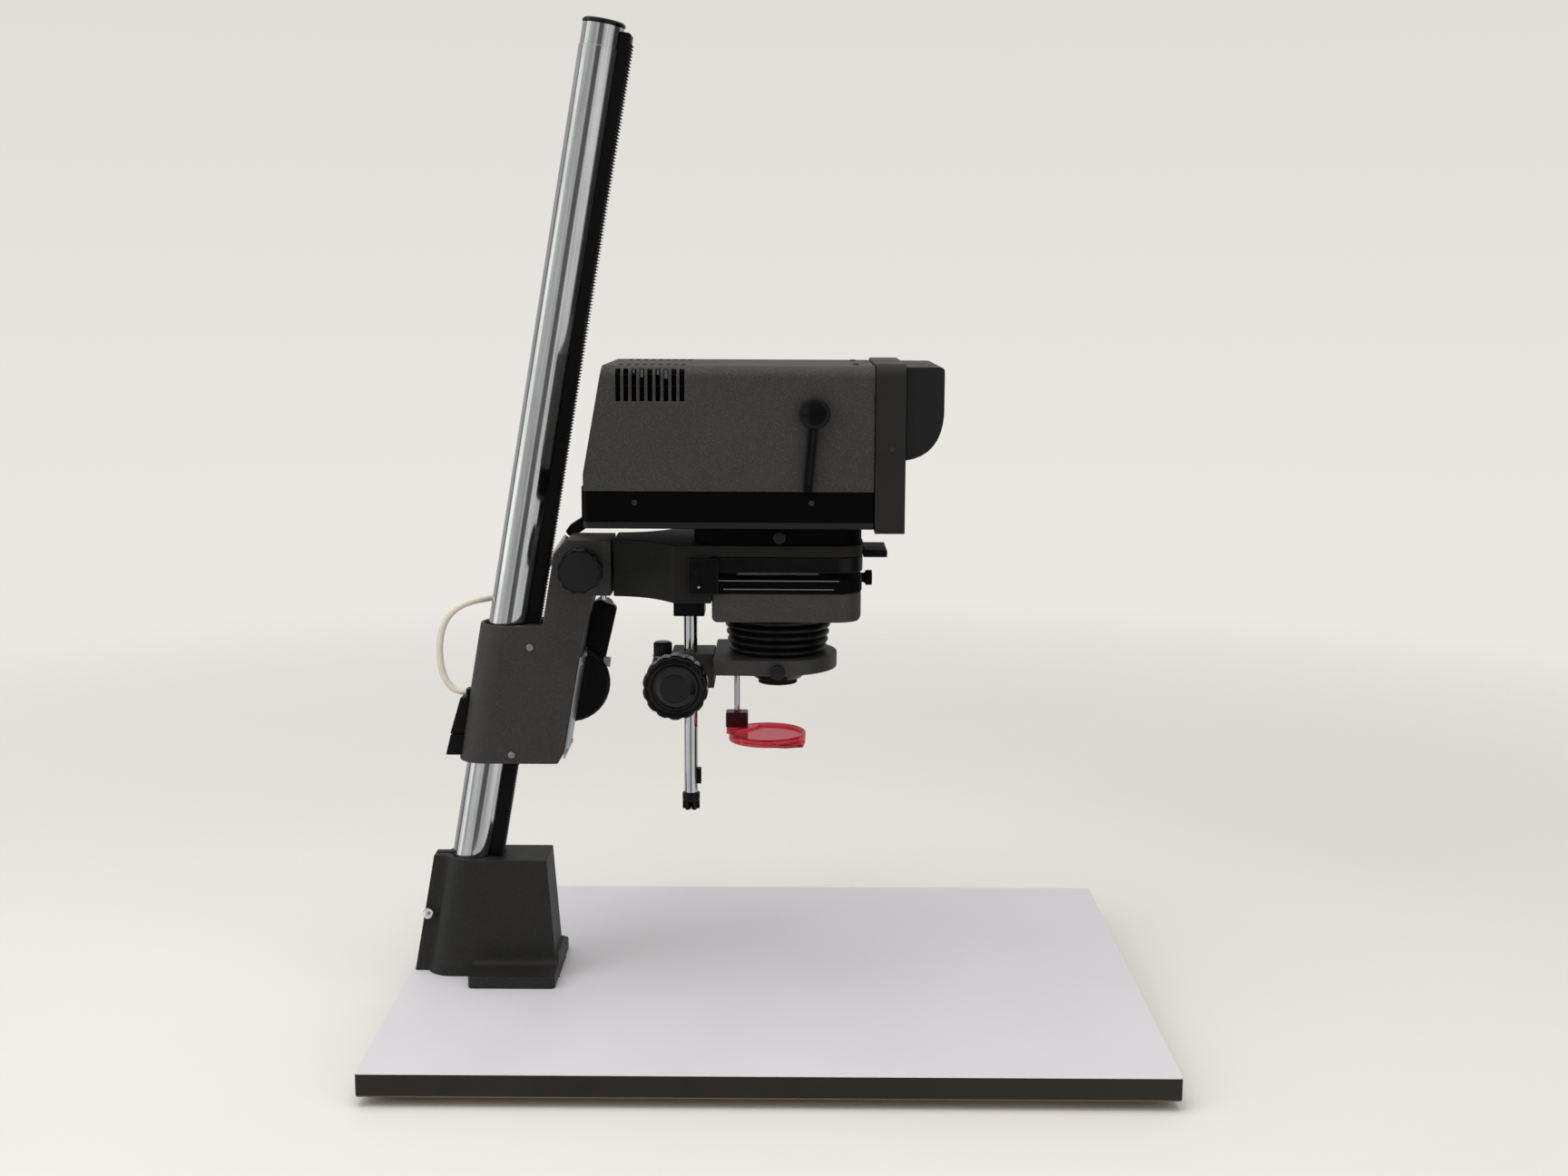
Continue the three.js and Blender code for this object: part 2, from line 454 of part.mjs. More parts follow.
function buildLensStage() {
  const { half, bottom, top, rear } = LENS_PLATE;
  const body = join(
    block(-97, rear - GAP, -20, 20, 244, 266),
    block(-81.5, rear - GAP, -20, 20, 260, top));
  const railBore = turnedZ(rod(RAIL.radius + GAP, 230, 290), 24).translate(RAIL.x, 0, 0);
  const shaftBore = turnedY(rod(FOCUS_SHAFT.radius + GAP, -30, 30), 20)
    .translate(FOCUS_SHAFT.x, 0, FOCUS_SHAFT.z);
  const lockBore = turnedZ(rod(3.3, 250, 275), 16).translate(-89.5, 0, 0);
  add("focus_block", cut(body, railBore, shaftBore, lockBore), FINISH.blackPlastic);

  const plan = new THREE.Shape();
  plan.moveTo(rear, -half + 2);
  plan.lineTo(LENS_X, -half);
  plan.absarc(LENS_X, 0, half, -Math.PI / 2, Math.PI / 2);
  plan.lineTo(rear, half - 2);
  const plate = cut(
    prismZ(plan, bottom, top, 16),
    turnedZ(rod(20, 250, 280), 32).translate(LENS_X, 0, 0),
    turnedZ(rod(2.7, 250, 268.3), 14).translate(FILTER.rodX, FILTER.rodY, 0),
    turnedY(rod(2.8, -60, -15), 14).translate(LENS_X, 0, 264));
  add("lens_plate", plate, FINISH.texturedPaint);

  const barrel = [[9.5, 246.2], [12, 246.2], [12, 253.4], [21, 253.4], [24.4, 256.5], [24.4, bottom - GAP],
    [19.6, bottom - GAP], [19.6, 274], [9.5, 274], [9.5, 246.2]];
  add("lens_barrel", turnedZ(barrel, 24), FINISH.mattBlack, onBoard, [LENS_X, 0, 0]);
  const glass = [[0, 250.5], [5, 251], [9.2, 252.6], [9.2, 255.6], [5, 257.2], [0, 257.8]];
  add("lens_glass", turnedZ(glass, 16), FINISH.glass, onBoard, [LENS_X, 0, 0]);
  const aperture = cut(
    extrude(scalloped(15.8, 18, 0.9), 7.4).translate(0, 0, 245.6),
    turnedZ(rod(12.3, 240, 260), 28));
  add("aperture_ring", aperture, FINISH.mattBlack, onBoard, [LENS_X, 0, 0]);

  const setScrew = turnedY([
    [0, -57], [5, -57], [6, -56], [6, -49.6], [5, -48.4], [2.5, -48.4], [2.5, -21], [0, -21]], 20);
  add("lens_set_screw", setScrew, FINISH.blackPlastic, onBoard, [LENS_X, 0, 264]);

  // Round bellows: one pleated wall, open at both ends for the light.
  const steps = BELLOWS.pleats * 2;
  const wave = Array.from({ length: steps + 1 }, (_, i) => {
    const t = i / steps;
    const radius = THREE.MathUtils.lerp(BELLOWS.bottomRadius, BELLOWS.topRadius, t);
    return [radius - (i % 2 ? 0 : BELLOWS.fold), THREE.MathUtils.lerp(BELLOWS.bottom, BELLOWS.top, t)];
  });
  const inside = wave.map(([r, z]) => [r - BELLOWS.wall, z]).reverse();
  add("bellows", turnedZ([...wave, ...inside, wave[0]], 28), FINISH.bellowsCloth, onBoard, [LENS_X, 0, 0]);
}

function buildFocusControls() {
  const { near, back, radius, lobes } = FOCUS_KNOB;
  const knob = join(
    prismY(scalloped(radius, lobes, 1.8), near + 2, back),
    turnedY([[0, near - 2], [14, near - 2], [16, near + 3], [0, near + 3]], 32),
    turnedY([[0, back - 1], [12, back - 1], [11, -21], [0, -21]], 24),
    turnedY(rod(FOCUS_SHAFT.radius, -30, 24), 20),
    turnedY([[0, 20.6], [7, 20.6], [7, 25], [5, 27], [0, 27]], 20));
  add("focus_knob", knob, FINISH.blackPlastic, onBoard, [FOCUS_SHAFT.x, 0, FOCUS_SHAFT.z]);
  const lock = turnedZ([
    [0, 252], [3, 252], [3, 266.4], [7.6, 266.4], [7.6, 277], [6.2, 278.5], [0, 278.5]], 24);
  add("focus_lock_knob", lock, FINISH.blackPlastic, onBoard, [-89.5, 0, 0]);
}

function buildRedFilter() {
  const { rodX, rodY, discX, radius, bottom, top, bracketTop } = FILTER;
  add("filter_rod", turnedZ(rod(2.4, top + 2, 268), 16), FINISH.chrome, onBoard, [rodX, rodY, 0]);
  const bracket = cut(
    block(-38.6, -20.4, rodY - 7, rodY + 8, top + GAP, bracketTop),
    turnedZ(rod(2.6, 190, 240), 16).translate(rodX, rodY, 0));
  add("filter_bracket", bracket, FINISH.darkRed);
  const floor = bottom + 1.8;
  const dish = turnedZ([
    [0, floor], [radius - 2.4, floor], [radius - 2.4, bottom], [radius, bottom], [radius, top],
    [radius - 2.4, top], [radius - 2.4, floor + 2.6], [0, floor + 2.6]], 32).translate(discX, 0, 0);
  const arm = prismZ(outline([[-38, 9], [-30, 4], [-18, 12], [-10, 24], [-22, 24], [-38, 23]]),
    floor, top - 0.4);
  const tab = prismZ(outline([[-2, -29.5], [10, -34], [25, -30], [27, -14], [18, -20], [6, -26]]),
    bottom + 0.3, bottom + 2.6);
  add("red_filter", join(dish, arm, tab), FINISH.redAcrylic);
}

// ---------------------------------------------------------------- lamphouse
function buildSeat() {
  const seat = prismZ(roundedPlan(-62, STAGE.front - 1, 54, 22, 20), LEVELS.top + GAP, LAMP.base - GAP, 6);
  const screwHole = turnedY(rod(2.4, -60, -45), 12).translate(5.5, 0, 372);
  add("seat_ring", cut(seat, lightWell(), screwHole), FINISH.mattBlack);
  const knob = turnedY([
    [0, -63], [4.2, -63], [5, -62], [5, -55.4], [4, -54.4], [2, -54.4], [2, -46], [0, -46]], 20);
  add("seat_lock_knob", knob, FINISH.blackPlastic, onBoard, [5.5, 0, 372]);
}

// The lamphouse's long body: an arched section cut off by its side outline, both set in by skin.
function lamphouseForm(skin, low, high) {
  const { half, top, rear, front, knee, slantX } = LAMP;
  const r = 9 - skin;
  const y = half - skin;
  const z = top - skin;
  const arch = new THREE.Shape();
  arch.moveTo(-y, low);
  arch.lineTo(y, low);
  arch.absarc(y - r, z - r, r, 0, Math.PI / 2);
  arch.absarc(-y + r, z - r, r, Math.PI / 2, Math.PI);
  const side = outline([
    [rear + skin, low - 1], [front + high, low - 1], [front + high, top + 1], [slantX + skin, top + 1],
    [slantX + skin, top], [rear + skin, knee]]);
  return common(prismX(arch, rear - 5, front + high, 5), prismY(side, -90, 90));
}

function buildLamphouse() {
  const { half, base, seam, rear, front } = LAMP;
  const tray = prismZ(roundedPlan(rear, front, half, 2, 5), base, seam, 3);
  const room = prismZ(roundedPlan(rear + 3, front - 3, half - 3, 2, 3), base + 3, seam + 5, 3);
  add("lamphouse_base", cut(tray, room, lightWell()), FINISH.mattBlack);

  const vents = Array.from({ length: VENT.count }, (_, i) => {
    const x = VENT.first + i * VENT.step - VENT.width / 2;
    return [-1, 1].flatMap((s) => [
      block(x, x + VENT.width, s * 78 - 14, s * 78 + 14, VENT.bottom, VENT.top),
      block(x, x + VENT.width, s * 47 - 13, s * 47 + 13, VENT.top, 520),
    ]);
  }).flat();
  const leverHole = turnedY(rod(4.4, -90, -60), 16).translate(LEVER.x, 0, LEVER.z);
  const cover = cut(lamphouseForm(0, seam + GAP, 0), lamphouseForm(SKIN, seam - 5, 5), leverHole, ...vents);
  add("lamphouse_cover", cover, FINISH.texturedPaint);

  const bezelShape = (inset) => {
    const shape = new THREE.Shape();
    const y = BEZEL.half - inset;
    const low = BEZEL.bottom + inset;
    const high = BEZEL.top - inset;
    const r = 10 - inset;
    shape.moveTo(-y, low);
    shape.lineTo(y, low);
    shape.absarc(y - r, high - r, r, 0, Math.PI / 2);
    shape.absarc(-y + r, high - r, r, Math.PI / 2, Math.PI);
    return shape;
  };
  const bezel = cut(
    prismX(bezelShape(0), BEZEL.rear, BEZEL.front, 5),
    prismX(bezelShape(3), BEZEL.rear - 1, BEZEL.front - 3, 5),
    block(90, 110, -58, 58, 440, 498));
  add("front_bezel", bezel, FINISH.mattBlack);
}

function buildDialHood() {
  const { front, half, bottom, bend, top } = HOOD;
  const hoodSide = (inset, rearX) => {
    const shape = new THREE.Shape();
    shape.moveTo(rearX, bottom + inset);
    shape.lineTo(BEZEL.front + GAP, bottom + inset);
    shape.quadraticCurveTo(front - inset - 2, bottom + inset + 4, front - inset, bend);
    shape.lineTo(front - inset, top - 4);
    shape.quadraticCurveTo(front - inset, top - inset, front - inset - 4, top - inset);
    shape.lineTo(rearX, top - inset);
    return shape;
  };
  const dialPlaces = [-1, 0, 1].map((s) => s * DIAL.spacing);
  const slotHalf = DIAL.width / 2 + 0.7;
  const slots = dialPlaces.map((y) =>
    turnedY(rod(DIAL.radius + 6, -slotHalf, slotHalf), 32).translate(DIAL.x, y, DIAL.z - 1));
  const axleHole = turnedY(rod(2.8, -67.5, 67.5), 16).translate(DIAL.x, 0, DIAL.z);
  const hood = cut(
    prismY(hoodSide(0, BEZEL.front + GAP), -half, half, 8),
    prismY(hoodSide(2.5, BEZEL.front - 2), -half + 2.5, half - 2.5, 8),
    axleHole, ...slots);
  add("dial_hood", hood, FINISH.mattBlack);

  add("dial_axle", turnedY(rod(2.4, -67.2, 67.2), 14), FINISH.steel, onBoard, [DIAL.x, 0, DIAL.z]);
  ["yellow", "magenta", "cyan"].forEach((colour, i) => {
    const wheel = cut(
      prismY(scalloped(DIAL.radius, 20, 0.8, 2), -DIAL.width / 2, DIAL.width / 2),
      turnedY(rod(2.7, -10, 10), 16));
    add(`dial_${colour}`, wheel, FINISH[colour], onBoard, [DIAL.x, dialPlaces[i], DIAL.z]);
  });
}

function buildFilterLever() {
  const arm = outline([
    [-LEVER.width / 2, 0], [-LEVER.width / 2 + 0.5, -LEVER.reach], [LEVER.width / 2 - 0.5, -LEVER.reach],
    [LEVER.width / 2, 0]]);
  const lever = join(
    turnedY([[0, -81], [10, -81], [LEVER.hubRadius, -79.6], [LEVER.hubRadius, -72.4], [0, -72.4]], 28),
    prismY(arm, -78, -73.5),
    turnedY(rod(4, -76, -64), 16));
  const mesh = add("filter_lever", lever, FINISH.blackPlastic, onBoard, [LEVER.x, 0, LEVER.z]);
  mesh.rotation.y = THREE.MathUtils.degToRad(LEVER.lean);
}

function buildLampParts() {
  const well = LIGHT_HALF - 3;
  const box = cut(lightWell(well, 368.5, 440), lightWell(well - 2.5, 360, 437),
    block(-40, 0, -22, 22, 405, 434));
  add("mixing_box", box, FINISH.white);
  add("diffuser", lightWell(well, 366, 368.2), FINISH.glass);
  const bulb = turnedX([
    [0, -100], [9, -100], [9, -92], [16, -86], [24, -74], [29, -62], [27.4, -62], [22, -73], [14, -84],
    [6, -88], [4, -86], [4, -74], [0, -72]], 18);
  add("lamp", bulb, FINISH.reflector, onBoard, [0, 0, 450]);
  const socket = join(
    block(-116, -100.3, -12, 12, 438, 462),
    block(-116, -112, -12, 12, 383.3, 440),
    block(-116, -96, -12, 12, 383.3, 386.5));
  add("lamp_socket", socket, FINISH.white);
  const connector = prismY(outline([
    [-145.3, 372], [-145.3, 410], [-157.5, 402], [-157.5, 376], [-167.5, 369.6], [-171, 364.5], [-168, 360.6],
    [-158.5, 364], [-150.5, 369.8]]), 28, 44);
  add("lead_connector", connector, FINISH.blackPlastic);
}

buildBase();
buildColumnFoot();
buildColumn();
buildCarriage();
buildDrive();
buildLead();
buildHeadArm();
buildNegativeCarrier();
buildRail();
buildLensStage();
buildFocusControls();
buildRedFilter();
buildSeat();
buildLamphouse();
buildDialHood();
buildFilterLever();
buildLampParts();

export default enlarger;
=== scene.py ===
"""Looks of the photo enlarger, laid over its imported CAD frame. Metres, +Z up, lens side towards +X.

Places and sizes come from the boxes of the CAD nodes. Cast, moulded and milled pieces are copies of their
CAD nodes with rounded edges and a finish. Turned, toothed, pleated and knurled pieces are modelled here.
"""
import json
import math

import bmesh
import bpy
from mathutils import Matrix, Vector


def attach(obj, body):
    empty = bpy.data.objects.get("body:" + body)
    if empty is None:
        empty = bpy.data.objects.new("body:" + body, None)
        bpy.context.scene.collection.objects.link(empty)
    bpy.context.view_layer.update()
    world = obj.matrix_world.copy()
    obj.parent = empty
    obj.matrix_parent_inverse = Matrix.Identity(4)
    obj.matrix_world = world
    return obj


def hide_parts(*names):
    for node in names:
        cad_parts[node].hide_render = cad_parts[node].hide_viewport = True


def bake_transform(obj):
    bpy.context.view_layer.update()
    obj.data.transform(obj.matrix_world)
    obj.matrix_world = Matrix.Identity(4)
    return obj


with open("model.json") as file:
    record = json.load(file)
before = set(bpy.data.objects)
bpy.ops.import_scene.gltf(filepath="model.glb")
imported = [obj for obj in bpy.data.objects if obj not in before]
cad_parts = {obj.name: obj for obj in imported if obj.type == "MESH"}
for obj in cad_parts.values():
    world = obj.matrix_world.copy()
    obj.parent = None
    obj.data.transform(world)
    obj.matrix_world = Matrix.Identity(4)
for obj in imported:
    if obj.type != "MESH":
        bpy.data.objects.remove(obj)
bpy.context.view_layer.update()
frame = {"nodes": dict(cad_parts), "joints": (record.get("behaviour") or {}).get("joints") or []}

MM = 0.001
MODULE = 0.8 * MM
X, Y, Z = Vector((1, 0, 0)), Vector((0, 1, 0)), Vector((0, 0, 1))
SLIDE = next(Vector(j["axis"]) for j in frame["joints"] if j["name"] == "carriage_slide")
LEANED = Matrix.Rotation(math.atan2(SLIDE.x, SLIDE.z), 4, "Y")
UPRIGHT = Matrix.Identity(4)


def linked(name, data):
    """A new object in the scene."""
    thing = bpy.data.objects.new(name, data)
    bpy.context.scene.collection.objects.link(thing)
    return thing


# ---------------------------------------------------------------- camera
def build_camera():
    """The photograph's viewpoint: from the near side, 0.59 m up, looking a little down."""
    data = bpy.data.cameras.new("camera")
    data.sensor_width = 36
    data.lens = 42.52
    data.clip_start = 0.05
    camera = linked("camera", data)
    forward = Vector((-0.00290107, 0.98722351, -0.1593152))
    right = Vector((0.9999841, 0.00363429, 0.00431118))
    up = right.cross(forward)
    camera.matrix_world = Matrix.Translation((0.01334, -1.48144, 0.58804)) @ Matrix(
        (right, up, -forward)).transposed().to_4x4()
    bpy.context.scene.camera = camera


# ---------------------------------------------------------------- node materials
class Nodes:
    """A Principled material and short names for the nodes that feed it."""

    def __init__(self, name, colour, roughness, **sockets):
        self.material = bpy.data.materials.new(name)
        self.material.use_nodes = True
        self.tree = self.material.node_tree
        self.shader = self.tree.nodes["Principled BSDF"]
        self.coords = self.tree.nodes.new("ShaderNodeTexCoord").outputs["Object"]
        self.shader.inputs["Base Color"].default_value = (*colour, 1)
        self.shader.inputs["Roughness"].default_value = roughness
        for socket, value in sockets.items():
            self.shader.inputs[socket.replace("_", " ").title().replace("Ior", "IOR")].default_value = value

    def add(self, kind, inputs=None, **settings):
        node = self.tree.nodes.new("ShaderNode" + kind)
        for key, value in settings.items():
            setattr(node, key, value)
        for key, value in (inputs or {}).items():
            if isinstance(value, bpy.types.NodeSocket):
                self.tree.links.new(value, node.inputs[key])
            else:
                node.inputs[key].default_value = value
        return node

    def feed(self, socket, output):
        self.tree.links.new(output, self.shader.inputs[socket])

    def stretched(self, scale):
        return self.add("Mapping", {"Vector": self.coords, "Scale": scale}).outputs[0]

    def noise(self, scale, detail=2.0, roughness=0.5, coords=None):
        inputs = {"Vector": coords or self.coords, "Scale": scale, "Detail": detail, "Roughness": roughness}
        return self.add("TexNoise", inputs).outputs["Fac"]

    def spread(self, value, low, high, to_low=0.0, to_high=1.0):
        inputs = {"Value": value, "From Min": low, "From Max": high, "To Min": to_low, "To Max": to_high}
        return self.add("MapRange", inputs).outputs["Result"]

    def blend(self, factor, first, second):
        node = self.add("Mix", data_type="RGBA")
        for index, value in ((0, factor), (6, first), (7, second)):
            if isinstance(value, bpy.types.NodeSocket):
                self.tree.links.new(value, node.inputs[index])
            elif index:
                node.inputs[index].default_value = (*value, 1)
            else:
                node.inputs[index].default_value = value
        return node.outputs[2]

    def sum(self, first, second, operation="ADD"):
        return self.add("Math", {0: first, 1: second}, operation=operation).outputs[0]

    def relief(self, height, depth, strength=1.0):
        inputs = {"Height": height, "Distance": depth, "Strength": strength}
        self.feed("Normal", self.add("Bump", inputs).outputs[0])

    # Mask of the rounded edge faces that the finishes paint paler: partly wear, partly painted highlight.
    def edge_wear_and_highlight(self):
        return self.add("Attribute", attribute_name="rounded_edge").outputs["Fac"]


def textured_paint(name, dark, light, grain, depth, edge, roughness=0.5, sheen=0.45):
    """Sprayed crinkle paint: fine sandy relief, pale specks on its crests, paler in patches on the edges,
    partly wear and partly painted highlight.
    """
    n = Nodes(name, dark, roughness, specular_ior_level=sheen)
    sand = n.noise(grain, 3.0, 0.65)
    cloud = n.noise(14, 3.0, 0.6)
    fleck = n.spread(sand, 0.52, 0.72)
    tone = n.blend(n.spread(cloud, 0.35, 0.7), dark, tuple(c * 1.22 for c in dark))
    speckled = n.blend(fleck, tone, light)
    scuffs = n.spread(n.noise(260, 4.0, 0.7), 0.42, 0.62)
    # Paler rounded edges in scuffed patches: partly wear, partly painted highlight.
    n.feed("Base Color", n.blend(n.sum(n.edge_wear_and_highlight(), scuffs, "MULTIPLY"), speckled, edge))
    n.feed("Roughness", n.spread(cloud, 0.2, 0.8, roughness - 0.08, roughness + 0.1))
    n.relief(n.sum(sand, n.noise(grain * 0.35, 2.0)), depth)
    return n.material


def moulded_plastic(name, colour, roughness, grain=900, depth=0.03 * MM, edge=None, sheen=0.35):
    """Moulded plastic: faint spark-eroded grain, handling sheen in patches, specks of dust, paler rounded
    edges that are partly rubbed and partly painted highlight.
    """
    n = Nodes(name, colour, roughness, specular_ior_level=sheen)
    handling = n.noise(38, 4.0, 0.6)
    dust = n.spread(n.noise(420, 5.0, 0.75), 0.62, 0.78)
    dusty = n.blend(n.sum(dust, 0.35, "MULTIPLY"), colour, tuple(c * 1.8 + 0.012 for c in colour))
    # Paler rounded edges: partly rubbed plastic, partly painted highlight.
    rubbed_and_highlit_edge = edge or tuple(c * 1.5 + 0.006 for c in colour)
    n.feed("Base Color", n.blend(n.edge_wear_and_highlight(), dusty, rubbed_and_highlit_edge))
    n.feed("Roughness", n.spread(handling, 0.3, 0.7, roughness - 0.06, roughness + 0.1))
    n.relief(n.noise(grain, 2.0, 0.6), depth)
    return n.material


def bright_metal(name, colour, roughness, along=(1, 1, 1), haze=0.1, lean=0.0, streaks=0.0):
    """Plated or turned metal: hairline scratches along one way, a breath of haze, pits, and darker streaks
    along one way that are partly drawing marks and partly painted reflection bands.
    """
    n = Nodes(name, colour, roughness, metallic=1.0)
    inputs = {"Vector": n.coords, "Rotation": (0, lean, 0), "Scale": along}
    lengthwise = n.add("Mapping", inputs, vector_type="TEXTURE").outputs[0]
    hairline = n.noise(900, 3.0, 0.6, lengthwise)
    # Darker streaks along one way, partly drawing marks and partly painted reflection bands; streaks sets how
    # dark they go.
    drawn_marks_and_reflection_bands = n.spread(n.noise(230, 3.0, 0.7, lengthwise), 0.36, 0.62, 1.0 - streaks, 1.0)
    film = n.noise(22, 4.0, 0.65)
    pits = n.spread(n.noise(1500, 2.0, 0.5), 0.7, 0.8)
    stained = n.blend(n.spread(film, 0.35, 0.75), colour, tuple(c * 0.86 for c in colour))
    streaked = n.blend(drawn_marks_and_reflection_bands, tuple(c * 0.3 for c in colour), stained)
    n.feed("Base Color", n.blend(pits, streaked, tuple(c * 0.55 for c in colour)))
    rough = n.sum(n.spread(film, 0.3, 0.8, 0, haze), n.spread(hairline, 0.4, 0.8, 0, haze))
    n.feed("Roughness", n.sum(rough, roughness))
    n.relief(hairline, 0.004 * MM, 0.6)
    return n.material


def laminate_sheet():
    """Pale lilac-grey board face: faint mottling, a soft stipple and hairline scuffs."""
    base = (0.556, 0.552, 0.586)
    n = Nodes("laminate_face", base, 0.42, specular_ior_level=0.4)
    mottle = n.noise(9, 4.0, 0.6)
    scuff = n.spread(n.noise(60, 4.0, 0.6, n.stretched((1, 14, 1))), 0.63, 0.72)
    tone = n.blend(n.spread(mottle, 0.3, 0.7), base, (0.58, 0.576, 0.603))
    n.feed("Base Color", n.blend(n.sum(scuff, 0.25, "MULTIPLY"), tone, (0.66, 0.655, 0.68)))
    n.feed("Roughness", n.spread(mottle, 0.3, 0.7, 0.36, 0.5))
    n.relief(n.noise(1100, 2.0), 0.02 * MM)
    return n.material


def backing_board():
    """Brown hardboard on the board's underside, with its pressed fibres."""
    n = Nodes("hardboard", (0.16, 0.09, 0.045), 0.75)
    fibre = n.noise(700, 5.0, 0.7, n.stretched((1, 0.35, 1)))
    n.feed("Base Color", n.blend(fibre, (0.11, 0.06, 0.03), (0.24, 0.15, 0.08)))
    n.relief(fibre, 0.12 * MM)
    return n.material


def red_filter_acrylic():
    """Clear red acrylic with faint moulding swirls and dust."""
    n = Nodes("red_acrylic", (0.60, 0.045, 0.07), 0.06, transmission_weight=1.0, ior=1.35)
    n.feed("Roughness", n.spread(n.noise(500, 4.0, 0.7), 0.5, 0.8, 0.04, 0.22))
    n.relief(n.noise(45, 2.0), 0.05 * MM)
    return n.material


def clear_glass(name, colour, roughness=0.02):
    n = Nodes(name, colour, roughness, transmission_weight=1.0, ior=1.45)
    n.feed("Roughness", n.spread(n.noise(300, 4.0, 0.7), 0.55, 0.8, roughness, roughness + 0.12))
    return n.material


def bellows_cloth():
    """Rubberised cloth, satin, with a fine weave and greyed patches."""
    n = Nodes("bellows_cloth", (0.002, 0.002, 0.0023), 0.3, specular_ior_level=0.3)
    weave = n.noise(1600, 2.0, 0.5, n.stretched((1, 1, 2.5)))
    wear = n.noise(60, 4.0, 0.7)
    n.feed("Base Color", n.blend(n.spread(wear, 0.5, 0.75), (0.002, 0.002, 0.0023), (0.010, 0.010, 0.011)))
    n.feed("Roughness", n.spread(wear, 0.3, 0.7, 0.28, 0.5))
    n.relief(weave, 0.05 * MM)
    return n.material


def dial_plastic(name, colour):
    """A coloured filter dial: moulded, unevenly toned, with a fine grain."""
    n = Nodes(name, colour, 0.38)
    grain = n.noise(50, 4.0, 0.6)
    deep = tuple(c * 0.8 for c in colour)
    clear = tuple(min(1, c * 1.15) for c in colour)
    n.feed("Base Color", n.blend(grain, deep, clear))
    n.feed("Roughness", n.spread(grain, 0.3, 0.7, 0.3, 0.46))
    n.relief(n.noise(1000, 2.0), 0.02 * MM)
    return n.material


